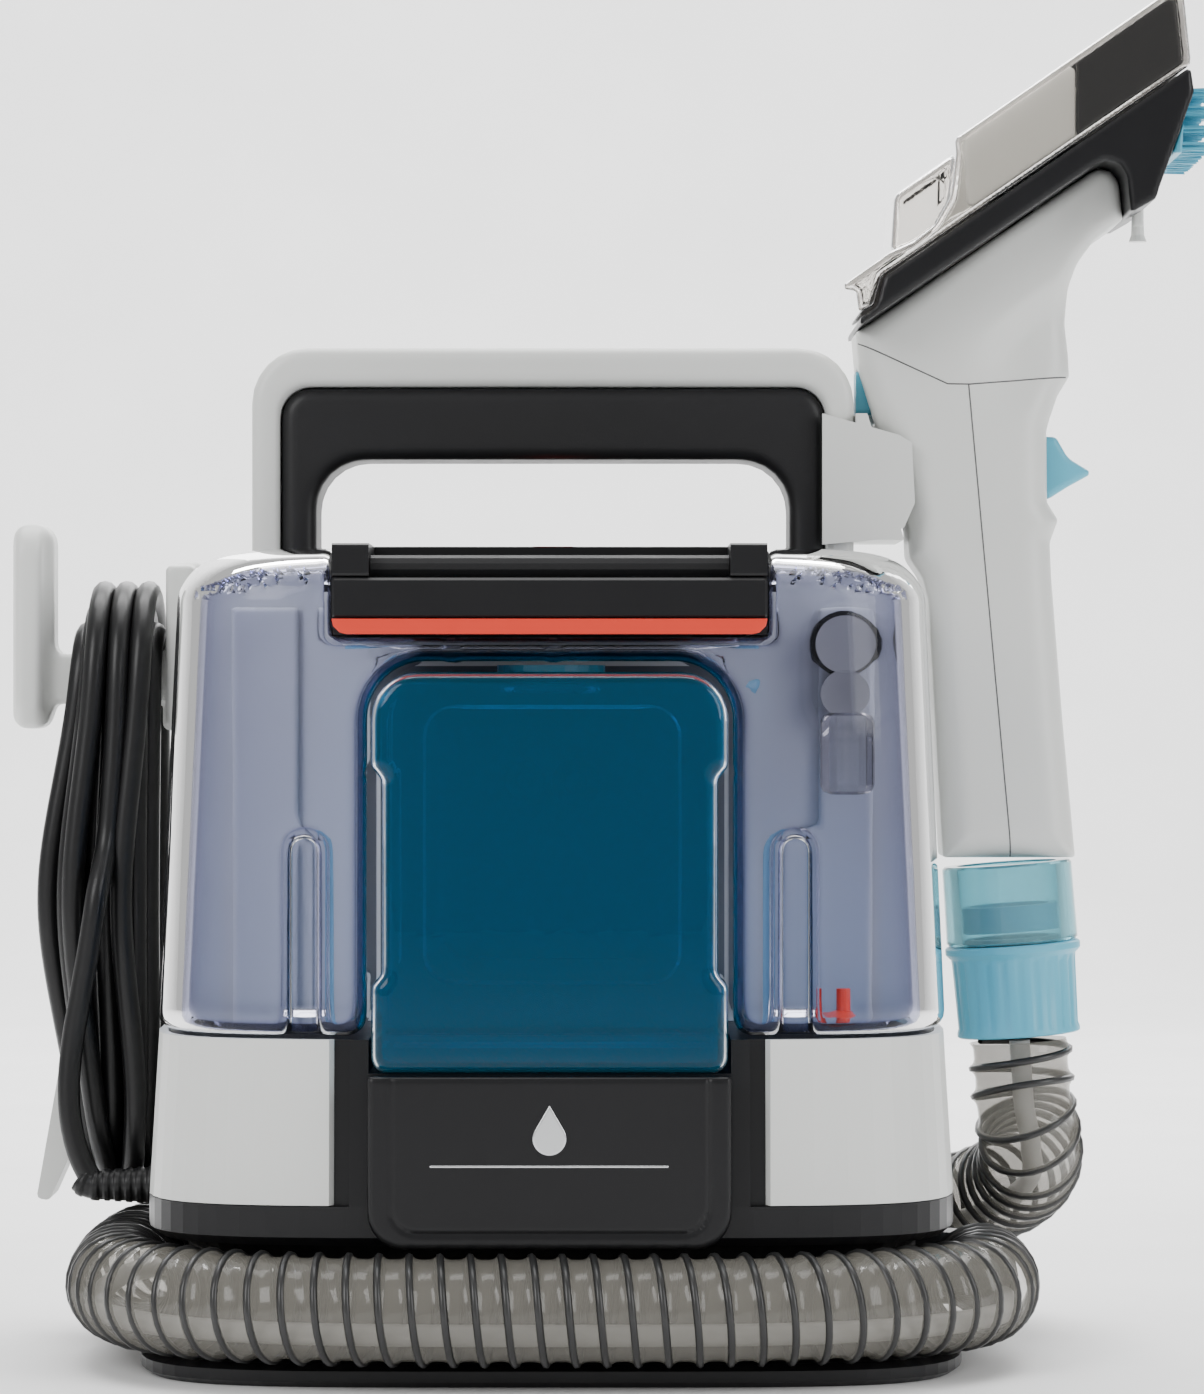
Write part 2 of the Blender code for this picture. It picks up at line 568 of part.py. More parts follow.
def make_clear_tank():
    tank = add("clear_tank_shell", tank_loft(0.0, TANK_BOTTOM, TANK_TOP), CLEAR)
    boolean(tank, box((-0.2, -0.2, 0.05), (0.2, TANK_BACK, 0.3)), "INTERSECT")
    notch = fillet([(-NOTCH_HALF, 0.05), (NOTCH_HALF, 0.05), (NOTCH_HALF, NOTCH_TOP),
                    (-NOTCH_HALF, NOTCH_TOP)], [0, 0, 0.018, 0.018], 5)
    boolean(tank, prism(notch, "Y", -0.2, 0.05))
    boolean(tank, box((-LID_HALF - GAP, -0.2, LID_FLOOR - GAP), (LID_HALF + GAP, -0.0165, 0.3)))
    room = add("cutter_tank_room", tank_loft(WALL, TANK_BOTTOM + WALL, TANK_TOP), GREY)
    room.hide_render = True
    room.display_type = "WIRE"
    boolean(room, box((-0.2, -0.2, 0.05), (0.2, TANK_BACK - WALL, 0.3)), "INTERSECT")
    inner_half = NOTCH_HALF + WALL
    inner = fillet([(-inner_half, 0.05), (inner_half, 0.05), (inner_half, NOTCH_TOP + WALL),
                    (-inner_half, NOTCH_TOP + WALL)], [0, 0, 0.020, 0.020], 5)
    boolean(room, prism(inner, "Y", -0.2, 0.05))
    keep = LID_HALF + WALL
    boolean(room, box((-keep, -0.2, LID_FLOOR - WALL), (keep, 0.0, 0.3)))
    cut = tank.modifiers.new("room", "BOOLEAN")
    cut.solver = "EXACT"
    cut.object = room
    boolean(tank, box((-0.064, -0.086, 0.2262), (0.064, -0.022, 0.24)))
    boolean(tank, rod((0.092, -0.052, 0.100), (0.092, -0.052, 0.1155), 0.0052, 16))
    boolean(tank, rod((0.094, -0.020, 0.228), (0.094, 0.0, 0.228), 0.0075, 16))
    add("tank_air_seal", tube((0.094, TANK_BACK + GAP, 0.228), (0.094, TOWER_FRONT - GAP, 0.228),
                              0.0105, 0.0072, 20), RUBBER)
    valve = [(0.0, 0.0), (0.0070, 0.0), (0.0070, 0.002), (0.0022, 0.003), (0.0022, 0.009), (0.0, 0.009)]
    add("drain_valve", revolve(valve, (0.092, -0.052, 0.1103), (0, 0, 1), 16), RED,
        (0.092, -0.052, 0.1103))
    float_ball = add("shutoff_float", rod((0.094, -0.034, 0.180), (0.094, -0.034, 0.206), 0.0085, 16),
                     WHITE, (0.094, -0.034, 0.180))
    bevel(float_ball, 0.003, 2)


def make_tank_lid():
    hinge = (0.0, -0.0200, 0.2555)
    side = fillet([(-0.0910, LID_FLOOR), (-0.0915, 0.2478), (-0.0990, 0.2478), (-0.0990, TANK_TOP),
                   (-0.0176, TANK_TOP), (-0.0176, LID_FLOOR)], [0, 0, 0.001, 0.002, 0.002, 0], 2)
    lid = add("tank_lid", prism(side, "X", -LID_HALF, LID_HALF), BLACK, hinge)
    boolean(lid, box((-0.0552, -0.2, 0.2410), (0.0552, -0.0600, 0.3)))
    boolean(lid, box((-0.062, -0.0875, 0.2), (0.062, -0.0215, 0.2385)))
    boolean(lid, box((-0.062, -0.0560, 0.22), (0.062, -0.0215, 0.2545)))
    add("tank_grip_bar", rod((-0.0549, -0.0900, 0.2510), (0.0549, -0.0900, 0.2510), 0.0036, 12), GREY)
    plate = fillet([(-LID_HALF, 0.2302), (LID_HALF, 0.2302), (LID_HALF, 0.2474), (-LID_HALF, 0.2474)],
                   [0.0045, 0.0045, 0.001, 0.001], 3)
    latch = add("latch_plate", prism(plate, "Y", -0.0995, -0.0940), BLACK, (0, -0.0950, 0.2440))
    boolean(latch, box((-0.2, -0.2, 0.2), (0.2, 0.2, 0.2352)))
    bevel(latch, 0.0008, 1)
    lip = add("latch_lip", prism(plate, "Y", -0.0995, -0.0940), RED, (0, -0.0950, 0.2440))
    boolean(lip, box((-0.2, -0.2, 0.2349), (0.2, 0.2, 0.3)))
    bevel(lip, 0.0008, 1)


# ---- blue clean-water tank ---------------------------------------------------------------
def blue_outline(inset):
    half, low, high = BLUE_HALF - inset, BLUE_BOTTOM + inset, BLUE_TOP - inset
    corners = [(-half, low), (half, low), (half, 0.1226), (half - 0.004, 0.1266),
               (half - 0.004, 0.1857), (half, 0.1897), (half, high), (-half, high),
               (-half, 0.1897), (-half + 0.004, 0.1857), (-half + 0.004, 0.1266), (-half, 0.1226)]
    radii = [0.003, 0.003, 0, 0, 0, 0, 0.018 - inset, 0.018 - inset, 0, 0, 0, 0]
    return fillet(corners, radii, 6)


def make_blue_tank():
    tank = add("blue_tank_shell", prism(blue_outline(0.0), "Y", BLUE_FRONT, BLUE_BACK), BLUE)
    bevel(tank, 0.003, 2, 50)
    boolean(tank, prism(blue_outline(0.0028), "Y", BLUE_FRONT + 0.003, BLUE_BACK - 0.003))
    boolean(tank, rod((0.0, -0.052, 0.200), (0.0, -0.052, 0.24), 0.0145, 24))
    boolean(tank, rod((0.0075, -0.025, 0.1836), (0.0075, 0.0, 0.1836), 0.0080, 20))
    cap = [(0.0, -0.006), (0.0138, -0.006), (0.0138, GAP), (0.0170, GAP), (0.0170, 0.0024), (0.0, 0.0024)]
    add("blue_tank_cap", revolve(cap, (0.0, -0.052, BLUE_TOP), (0, 0, 1), 24), TURQUOISE,
        (0.0, -0.052, BLUE_TOP))
    port = [(0.0, 0.0), (0.0095, 0.0), (0.0095, 0.002), (0.0076, 0.002), (0.0076, 0.0050), (0.0, 0.0050)]
    add("blue_tank_outlet", revolve(port, (0.0075, -0.0213, 0.1836), (0, 1, 0), 20), RUBBER)


# ---- machinery inside --------------------------------------------------------------------
MOTOR = (0.0, 0.040)


def make_machinery():
    x, y = MOTOR
    can = [(0.0300, 0.0), (0.0380, 0.0), (0.0380, 0.0550), (0.0060, 0.0550), (0.0060, 0.0520),
           (0.0300, 0.0520)]
    add("motor_can", revolve(can, (x, y, 0.1180), count=24), STEEL)
    rotor = [(0.0, 0.0), (0.0040, 0.0), (0.0040, 0.0080), (0.0270, 0.0080), (0.0270, 0.0450),
             (0.0040, 0.0450), (0.0040, 0.0570), (0.0055, 0.0590), (0.0055, 0.0780), (0.0, 0.0780)]
    add("motor_rotor", revolve(rotor, (x, y, 0.1190), count=20), BRASS, (x, y, 0.1190))
    fan = [(0.0060, 0.0), (0.0360, 0.0), (0.0360, 0.0020), (0.0120, 0.0130), (0.0060, 0.0130)]
    impeller = add("impeller", revolve(fan, (x, y, 0.1810), count=24), WHITE, (x, y, 0.1810))
    for k in range(6):
        turn = math.tau * k / 6
        along = Vector((math.cos(turn), math.sin(turn), 0))
        across = Vector((-math.sin(turn), math.cos(turn), 0))
        middle = Vector((x, y, 0))
        corners = [middle + along * r + across * w for r, w in
                   ((0.010, -0.0008), (0.0352, -0.0008), (0.0352, 0.0008), (0.010, 0.0008))]
        blade = prism([(c.x, c.y) for c in corners], "Z", 0.1815, 0.1960)
        boolean(impeller, blade, "UNION")
    shroud = [(0.0390, 0.0), (0.0420, 0.0), (0.0420, 0.0250), (0.0120, 0.0250), (0.0120, 0.0220),
              (0.0390, 0.0220)]
    add("fan_shroud", revolve(shroud, (x, y, 0.1760), count=24), GREY)
    duct = tube((0.094, TOWER_FRONT + WALL + GAP, 0.228), (0.094, 0.020, 0.228), 0.0100, 0.0075, 16)
    add("tower_air_duct", duct, GREY)
    pump = add("pump_body", rod((-0.030, 0.030, 0.066), (0.030, 0.030, 0.066), 0.018, 20), GREY)
    boolean(pump, rod((-0.010, 0.030, 0.066), (0.0400, 0.030, 0.066), 0.0080, 16))
    add("pump_piston", rod((0.004, 0.030, 0.066), (0.046, 0.030, 0.066), 0.0074, 16), STEEL,
        (0.004, 0.030, 0.066))
    add("circuit_board", box((-0.085, 0.010, 0.050), (-0.045, 0.060, 0.0516)), BOARD)


# ---- hand tool ---------------------------------------------------------------------------
def tool_axis(distance):
    """A point down the tool's own axis from the collar's lower edge."""
    return Vector((0.1512 + math.sin(TOOL_TILT) * distance, TOOL_Y, 0.130 - math.cos(TOOL_TILT) * distance))


GRIP_OUTLINE = [
    (0.0998, 0.3256), (0.0998, 0.3183), (0.1159, 0.2664), (0.1163, 0.2565), (0.1208, 0.2500),
    (0.1228, 0.2418), (0.1249, 0.2034), (0.1275, 0.1585), (0.1708, 0.1585), (0.1667, 0.2034),
    (0.1630, 0.2500), (0.1625, 0.2615), (0.1652, 0.2689), (0.1616, 0.2747), (0.1614, 0.2980),
    (0.1625, 0.3020), (0.1650, 0.3093), (0.1686, 0.3153), (0.1355, 0.3125), (0.1285, 0.3127),
]
HEAD_OUTLINE = [
    (0.0998, 0.3262), (0.0988, 0.3300), (0.1000, 0.3306), (0.1748, 0.3818), (0.1780, 0.3833),
    (0.1822, 0.3822), (0.1845, 0.3785), (0.1857, 0.3666), (0.1764, 0.3598), (0.1710, 0.3526),
    (0.1683, 0.3450), (0.1675, 0.3330), (0.1688, 0.3225), (0.1690, 0.3160), (0.1355, 0.3131),
    (0.1287, 0.3133),
]
FRAME_OUTLINE = [
    (0.0992, 0.3330), (0.0988, 0.3303), (0.1745, 0.3821), (0.1779, 0.3837), (0.1825, 0.3826),
    (0.1849, 0.3787), (0.1861, 0.3667), (0.1942, 0.3713), (0.1952, 0.3749), (0.2064, 0.4057),
    (0.2052, 0.4137), (0.1065, 0.3461), (0.1040, 0.3366),
]
COVER_OUTLINE = [
    (0.0985, 0.3345), (0.1034, 0.3369), (0.1060, 0.3463), (0.2050, 0.4141), (0.2052, 0.4165),
    (0.2032, 0.4359), (0.2004, 0.4397), (0.1294, 0.3905), (0.1298, 0.3858), (0.1282, 0.3721),
    (0.1233, 0.3632), (0.1161, 0.3576), (0.1090, 0.3544), (0.0920, 0.3424), (0.0976, 0.3415),
]


def make_tool_grip():
    low, high = TOOL_Y - TOOL_HALF, TOOL_Y + TOOL_HALF
    grip = add("tool_grip_shell", prism(GRIP_OUTLINE, "Y", low, high), WHITE)
    bevel(grip, 0.008, 3, 60)
    bore = [(0.1345, 0.150), (0.1640, 0.150), (0.1560, 0.2400), (0.1540, 0.345), (0.1250, 0.345),
            (0.1310, 0.240)]
    boolean(grip, prism(bore, "Y", TOOL_Y - 0.0150, TOOL_Y + 0.0150))
    boolean(grip, box((0.150, TOOL_Y - 0.0085, 0.2745), (0.185, TOOL_Y + 0.0085, 0.2985)))
    boolean(grip, box((0.090, TOOL_Y - 0.0075, 0.3010), (0.1110, TOOL_Y + 0.0075, 0.3185)))
    head = add("tool_head_shell", prism(HEAD_OUTLINE, "Y", low, high), WHITE)
    bevel(head, 0.004, 2, 60)
    throat = [(0.1250, 0.300), (0.1540, 0.300), (0.1590, 0.385), (0.1280, 0.365)]
    boolean(head, prism(throat, "Y", TOOL_Y - 0.0150, TOOL_Y + 0.0150))
    pipe_path = [(0.1480, 0.1600), (0.1440, 0.2400), (0.1395, 0.3000)]
    rings = []
    for radius, order in ((0.0115, (0, 1, 2)), (0.0095, (2, 1, 0))):
        for i in order:
            x, z = pipe_path[i]
            rings.append([(x + radius * math.cos(t), TOOL_Y + radius * math.sin(t), z)
                          for t in (math.tau * k / 14 for k in range(14))])
    add("tool_suction_pipe", loft(rings, closed=True), GREY)
    boolean(grip, rod((0.1600, TOOL_Y - 0.0125, 0.2940), (0.1600, TOOL_Y + 0.0125, 0.2940), 0.0016, 10))
    pin = rod((0.1600, TOOL_Y - 0.0120, 0.2940), (0.1600, TOOL_Y + 0.0120, 0.2940), 0.0012, 8)
    add("trigger_pin", pin, STEEL)
    trigger = fillet([(0.1572, 0.2965), (0.1572, 0.2770), (0.1630, 0.2762), (0.1690, 0.2800),
                      (0.1772, 0.2845), (0.1690, 0.2895), (0.1650, 0.2965)],
                     [0.001, 0.001, 0.001, 0.002, 0.001, 0.003, 0.001], 3)
    lever = add("trigger", prism(trigger, "Y", TOOL_Y - 0.0078, TOOL_Y + 0.0078), TURQUOISE,
                (0.1600, TOOL_Y, 0.2940))
    boolean(lever, rod((0.1600, TOOL_Y - 0.02, 0.2940), (0.1600, TOOL_Y + 0.02, 0.2940), 0.0016, 10))
    release = rectangle(TOOL_Y - 0.0070, TOOL_Y + 0.0070, 0.3036, 0.3177, 0.0015, 3)
    add("nozzle_release", prism(release, "X", 0.0993, 0.1085), TURQUOISE, (0.0993, TOOL_Y, 0.3097))


def make_collar():
    top, low = tool_axis(-0.0264), tool_axis(0.0)
    collar = [(0.0160, 0.0), (0.0213, 0.0), (0.0216, 0.0261), (0.0160, 0.0261)]
    add("tool_collar", revolve(collar, top, low - top, 28), TEAL)
    cuff_top = tool_axis(0.0001)
    profile = [(0.0178, 0.0), (0.0222, 0.0), (0.0222, 0.0028), (0.0205, 0.0040), (0.0196, 0.0280),
               (0.0202, 0.0290), (0.0202, 0.0300), (0.0180, 0.0300)]
    add("hose_cuff", revolve(profile, cuff_top, low - top, 28), TURQUOISE, cuff_top)
    nipple = [(0.0125, 0.0), (0.0157, 0.0), (0.0157, 0.0300), (0.0125, 0.0300)]
    add("hose_nipple", revolve(nipple, tool_axis(-0.0020), low - top, 20), GREY)


def make_nozzle():
    low, high = TOOL_Y - NOZZLE_HALF, TOOL_Y + NOZZLE_HALF
    frame = add("nozzle_frame", prism(FRAME_OUTLINE, "Y", low, high), BLACK)
    window = [(0.1290, 0.3490), (0.1600, 0.3700), (0.1500, 0.4000), (0.1200, 0.3700)]
    boolean(frame, prism(window, "Y", TOOL_Y - 0.014, TOOL_Y + 0.014))
    cover = add("nozzle_cover", prism(COVER_OUTLINE, "Y", low, high), SMOKE)
    room = [(0.1330, 0.3610), (0.2100, 0.4138), (0.2100, 0.4245), (0.2000, 0.4352), (0.1325, 0.3885)]
    boolean(cover, prism(room, "Y", low + 0.003, high - 0.003))
    scoop = fillet([(0.1095, 0.3540), (0.1220, 0.3590), (0.1300, 0.3700), (0.1303, 0.3865),
                    (0.1285, 0.3862), (0.1108, 0.3738)], [0.001, 0, 0, 0, 0.001, 0.003], 2)
    boolean(cover, prism(scoop, "Y", TOOL_Y - 0.026, TOOL_Y + 0.026), "UNION")
    duct = [(0.1420, 0.3740), (0.1700, 0.3932), (0.1700, 0.4085), (0.1420, 0.3893)]
    white = add("nozzle_duct", prism(duct, "Y", TOOL_Y - 0.035, TOOL_Y + 0.035), WHITE)
    boolean(white, prism([(0.1440, 0.3785), (0.1800, 0.4032), (0.1800, 0.4120), (0.1440, 0.3872)],
                         "Y", TOOL_Y - 0.032, TOOL_Y + 0.032))
    block = [(0.1997, 0.3862), (0.2068, 0.4057), (0.2068, 0.4085), (0.2120, 0.4085), (0.2126, 0.3862)]
    brush = add("scrub_brush", prism(block, "Y", TOOL_Y - 0.036, TOOL_Y + 0.036), TURQUOISE)
    for k in range(3):
        z = 0.3915 + 0.0056 * k
        boolean(brush, box((0.2085, -0.1, z), (0.22, 0.1, z + 0.0010)))
    tip = [(0.0, 0.0), (0.0030, 0.0), (0.0022, 0.0022), (0.0020, 0.0075), (0.0, 0.0075)]
    add("spray_tip", revolve(tip, (0.1925, TOOL_Y, 0.3610), (0, 0, 1), 12), WHITE)


clear_scene()
make_base()
make_channel()
make_housing()
make_tower()
make_handle()
make_dock()
make_hooks()
make_coil()
make_mains_lead()
make_hose()
make_clear_tank()
make_tank_lid()
make_blue_tank()
make_machinery()
make_tool_grip()
make_collar()
make_nozzle()
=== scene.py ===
"""Looks of the portable spot extractor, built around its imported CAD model. Metres, +Z up, front to -Y."""

import math

import bpy
import numpy as np
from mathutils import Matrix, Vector


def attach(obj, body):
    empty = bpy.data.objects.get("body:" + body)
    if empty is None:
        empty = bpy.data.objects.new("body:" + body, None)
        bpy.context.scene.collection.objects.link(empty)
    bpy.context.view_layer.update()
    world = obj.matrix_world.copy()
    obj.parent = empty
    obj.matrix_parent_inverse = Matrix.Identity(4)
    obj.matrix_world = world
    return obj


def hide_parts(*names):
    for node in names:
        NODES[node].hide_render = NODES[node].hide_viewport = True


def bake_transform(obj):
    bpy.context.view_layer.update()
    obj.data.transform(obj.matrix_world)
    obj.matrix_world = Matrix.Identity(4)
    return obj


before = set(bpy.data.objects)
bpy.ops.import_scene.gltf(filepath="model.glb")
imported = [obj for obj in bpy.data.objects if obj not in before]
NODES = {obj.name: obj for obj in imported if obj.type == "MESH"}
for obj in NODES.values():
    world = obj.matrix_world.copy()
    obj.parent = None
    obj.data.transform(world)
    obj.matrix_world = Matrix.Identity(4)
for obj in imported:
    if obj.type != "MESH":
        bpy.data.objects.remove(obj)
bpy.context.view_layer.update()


# ---- camera, floor and lights ----
SENSOR_MM, LENS_MM = 36.0, 127.1
CAMERA_PLACE = (0.016, -1.600, 0.211)
VIEW_LIMIT = 20
WORLD_STRENGTH = 0.55
LAMPS = (  # name, place, target, size, power
    ("key", (-1.3, -1.5, 1.3), (0, 0, 0.18), (0.9, 1.3), 26),
    ("fill", (1.6, -1.1, 0.9), (0, 0, 0.2), (0.8, 1.3), 17),
    ("top", (0.0, 0.1, 1.9), (0, 0, 0.2), (1.4, 1.0), 20),
    ("back", (0.3, 1.3, 1.1), (0, 0, 0.25), (1.6, 0.9), 14),
    ("backdrop", (0.0, 0.9, 2.2), (0, 2.2, 0.6), (2.5, 0.6), 95),
)
FLOOR_FRONT, FLOOR_BACK, FLOOR_HALF = -3.0, 1.6, 4.0
FLOOR_BEND, WALL_TOP = 0.8, 3.2


def make_camera():
    data = bpy.data.cameras.new("camera")
    data.sensor_width = SENSOR_MM
    data.lens = LENS_MM
    data.clip_end = VIEW_LIMIT
    camera = bpy.data.objects.new("camera", data)
    bpy.context.scene.collection.objects.link(camera)
    camera.location = CAMERA_PLACE
    camera.rotation_euler = (math.radians(90), 0, 0)
    bpy.context.scene.camera = camera


def area_light(name, place, target, size, power):
    data = bpy.data.lights.new(name, "AREA")
    data.shape = "RECTANGLE"
    data.size, data.size_y = size
    data.energy = power
    lamp = bpy.data.objects.new(name, data)
    bpy.context.scene.collection.objects.link(lamp)
    lamp.location = place
    lamp.rotation_euler = (Vector(target) - Vector(place)).to_track_quat("-Z", "Y").to_euler()


def make_lights():
    world = bpy.data.worlds.new("studio")
    bpy.context.scene.world = world
    world.use_nodes = True
    background = world.node_tree.nodes["Background"]
    background.inputs["Color"].default_value = (1, 1, 1, 1)
    background.inputs["Strength"].default_value = WORLD_STRENGTH
    for lamp in LAMPS:
        area_light(*lamp)


def make_floor():
    """White paper that runs back over the floor and bends up into a wall. The wall hides the machine
    from a camera straight behind it."""
    steps = [(FLOOR_FRONT, 0.0), (FLOOR_BACK, 0.0)]
    for turn in np.linspace(0.1, math.pi / 2, 14):
        steps.append((FLOOR_BACK + FLOOR_BEND * math.sin(turn), FLOOR_BEND - FLOOR_BEND * math.cos(turn)))
    steps.append((FLOOR_BACK + FLOOR_BEND, WALL_TOP))
    verts = [(x, y, z) for y, z in steps for x in (-FLOOR_HALF, FLOOR_HALF)]
    faces = [(2 * i, 2 * i + 1, 2 * i + 3, 2 * i + 2) for i in range(len(steps) - 1)]
    mesh = bpy.data.meshes.new("studio_floor")
    mesh.from_pydata(verts, [], faces)
    mesh.polygons.foreach_set("use_smooth", [True] * len(faces))
    floor = bpy.data.objects.new("studio_floor", mesh)
    bpy.context.scene.collection.objects.link(floor)
    mesh.materials.append(moulded("floor_paper", (0.90, 0.90, 0.90), 0.7, 300, 0.02))


# ---- materials ----
COLOUR_SCALE, GLOSS_SCALE = 9.0, 60.0
COLOUR_DETAIL, GLOSS_DETAIL, GRAIN_DETAIL = 3.0, 5.0, 2.0
GLOSS_LOW, GLOSS_HIGH = 0.82, 1.18
BUMP_STRENGTH = 0.35
MM = 0.001
MIX_A, MIX_B = 6, 7
MIX_COLOUR = 2
FILM_TINT = (0.9, 0.88, 0.85)


def node(tree, kind, **values):
    made = tree.nodes.new(kind)
    for key, value in values.items():
        if key in made.inputs:
            made.inputs[key].default_value = value
        else:
            setattr(made, key, value)
    return made


def noise(tree, scale, detail):
    place = node(tree, "ShaderNodeTexCoord")
    texture = node(tree, "ShaderNodeTexNoise", Scale=scale, Detail=detail)
    tree.links.new(place.outputs["Object"], texture.inputs["Vector"])
    return texture.outputs["Fac"]


def ranged(tree, value, low, high):
    made = node(tree, "ShaderNodeMapRange")
    made.inputs["To Min"].default_value = low
    made.inputs["To Max"].default_value = high
    tree.links.new(value, made.inputs["Value"])
    return made.outputs["Result"]


def surface(name, colour, rough, grain, depth, spread=0.06, **extra):
    """A Principled surface with fine moulded grain, slow colour change and uneven gloss."""
    made = bpy.data.materials.new(name)
    made.use_nodes = True
    tree = made.node_tree
    shader = tree.nodes["Principled BSDF"]
    for key, value in extra.items():
        shader.inputs[key.replace("_", " ")].default_value = value
    slow = noise(tree, COLOUR_SCALE, COLOUR_DETAIL)
    blend = node(tree, "ShaderNodeMix", data_type="RGBA")
    tree.links.new(slow, blend.inputs["Factor"])
    blend.inputs[MIX_A].default_value = (*[c * (1 - spread) for c in colour], 1)
    blend.inputs[MIX_B].default_value = (*[min(c * (1 + spread), 1) for c in colour], 1)
    tree.links.new(blend.outputs[MIX_COLOUR], shader.inputs["Base Color"])
    patchy = noise(tree, GLOSS_SCALE, GLOSS_DETAIL)
    gloss = ranged(tree, patchy, rough * GLOSS_LOW, min(rough * GLOSS_HIGH, 1))
    tree.links.new(gloss, shader.inputs["Roughness"])
    bump = node(tree, "ShaderNodeBump", Strength=BUMP_STRENGTH, Distance=depth * MM)
    tree.links.new(noise(tree, grain, GRAIN_DETAIL), bump.inputs["Height"])
    tree.links.new(bump.outputs["Normal"], shader.inputs["Normal"])
    return made, tree, shader


def moulded(name, colour, rough, grain=2500, depth=0.05, **extra):
    return surface(name, colour, rough, grain, depth, **extra)[0]


def clear(name, tint, edge, shade, rough=0.03, ior=1.45, body=0.0, edge_share=0.8):
    """A see-through moulded plastic: tinted glass that shifts to its edge colour where the wall is seen
    end on, with lamps let through it as tinted shade. A darker edge colour is the deeper tint of a longer
    path through the wall; a lighter one is a painted highlight."""
    made, tree, shader = surface(name, tint, rough, 180, 0.02, spread=0.02,
                                 Transmission_Weight=1.0 - body, IOR=ior, Specular_IOR_Level=0.3)
    facing = node(tree, "ShaderNodeLayerWeight", Blend=0.5)
    edge_shift = node(tree, "ShaderNodeMix", data_type="RGBA")
    tree.links.new(ranged(tree, facing.outputs["Facing"], 0.0, edge_share), edge_shift.inputs["Factor"])
    plain = shader.inputs["Base Color"].links[0].from_socket
    tree.links.new(plain, edge_shift.inputs[MIX_A])
    edge_shift.inputs[MIX_B].default_value = (*edge, 1)
    tree.links.new(edge_shift.outputs[MIX_COLOUR], shader.inputs["Base Color"])
    output = tree.nodes["Material Output"]
    through = node(tree, "ShaderNodeBsdfTransparent", Color=(*shade, 1))
    path = node(tree, "ShaderNodeLightPath")
    mix = node(tree, "ShaderNodeMixShader")
    tree.links.new(path.outputs["Is Shadow Ray"], mix.inputs["Fac"])
    tree.links.new(shader.outputs[0], mix.inputs[1])
    tree.links.new(through.outputs[0], mix.inputs[2])
    tree.links.new(mix.outputs[0], output.inputs["Surface"])
    return made


def film(name, colour, clearness, rough):
    """A thin cloudy film: part plastic, part open to what lies behind it."""
    made, tree, shader = surface(name, colour, rough, 900, 0.05, spread=0.08)
    through = node(tree, "ShaderNodeBsdfTransparent", Color=(*FILM_TINT, 1))
    mix = node(tree, "ShaderNodeMixShader")
    mix.inputs["Fac"].default_value = clearness
    tree.links.new(shader.outputs[0], mix.inputs[1])
    tree.links.new(through.outputs[0], mix.inputs[2])
    tree.links.new(mix.outputs[0], tree.nodes["Material Output"].inputs["Surface"])
    return made


WHITE = moulded("white_shell", (0.66, 0.67, 0.65), 0.34, spread=0.015)
BLACK = moulded("black_shell", (0.007, 0.007, 0.008), 0.32, spread=0.2, Specular_IOR_Level=0.28)
BLACK_SATIN = moulded("black_grip", (0.011, 0.011, 0.012), 0.45, grain=1600, depth=0.12, spread=0.15,
                      Specular_IOR_Level=0.28)
RED = moulded("red_lip", (0.64, 0.035, 0.015), 0.32)
TURQUOISE = moulded("turquoise_part", (0.09, 0.41, 0.56), 0.36)
GREY = moulded("grey_part", (0.085, 0.088, 0.095), 0.40)
DARK = moulded("dark_port", (0.02, 0.021, 0.024), 0.45)
PORT = moulded("port_grey", (0.20, 0.20, 0.215), 0.5)
RUBBER = moulded("black_cord", (0.006, 0.006, 0.0065), 0.36, grain=1400, depth=0.10, spread=0.25,
                 Specular_IOR_Level=0.35)
STEEL = moulded("steel", (0.55, 0.56, 0.58), 0.28, grain=900, depth=0.02, Metallic=1.0)
COPPER = moulded("copper_winding", (0.72, 0.33, 0.14), 0.34, grain=500, depth=0.3, Metallic=1.0)
BOARD = moulded("circuit_board", (0.02, 0.20, 0.08), 0.35)
SILVER = moulded("silver_mark", (0.66, 0.67, 0.68), 0.22, grain=700, depth=0.01, Metallic=0.9)
# painted refraction: this cyan stands in for the blue tank's sides seen bent through the recovery tank's
# inner walls
PAINTED_REFRACTION_CYAN = moulded("cyan_painted_refraction", (0.22, 0.47, 0.58), 0.3)
CLEAR = clear("clear_violet", (0.84, 0.85, 0.93), (0.10, 0.11, 0.32), (0.95, 0.96, 0.98),
              ior=1.22, edge_share=1.0)
# The blue tank's edge colour is lighter than its tint: a painted highlight along its walls where they are
# seen end on.
BLUE = clear("clear_blue", (0.003, 0.22, 0.38), (0.02, 0.36, 0.54), (0.30, 0.68, 0.82),
             rough=0.012, ior=1.30, body=0.12)
TEAL = clear("clear_teal", (0.35, 0.66, 0.72), (0.10, 0.40, 0.48), (0.45, 0.70, 0.75), rough=0.10, body=0.2)
SMOKE = clear("clear_smoke", (0.84, 0.82, 0.79), (0.22, 0.16, 0.11), (0.84, 0.82, 0.80))
HOSE_SKIN = film("hose_skin", (0.21, 0.20, 0.175), 0.42, 0.13)
WIRE = moulded("hose_wire", (0.02, 0.02, 0.02), 0.30)
SEAM_GREY = moulded("seam_grey", (0.10, 0.10, 0.10), 0.6)
PALE = moulded("water_line", (0.75, 0.76, 0.76), 0.30)
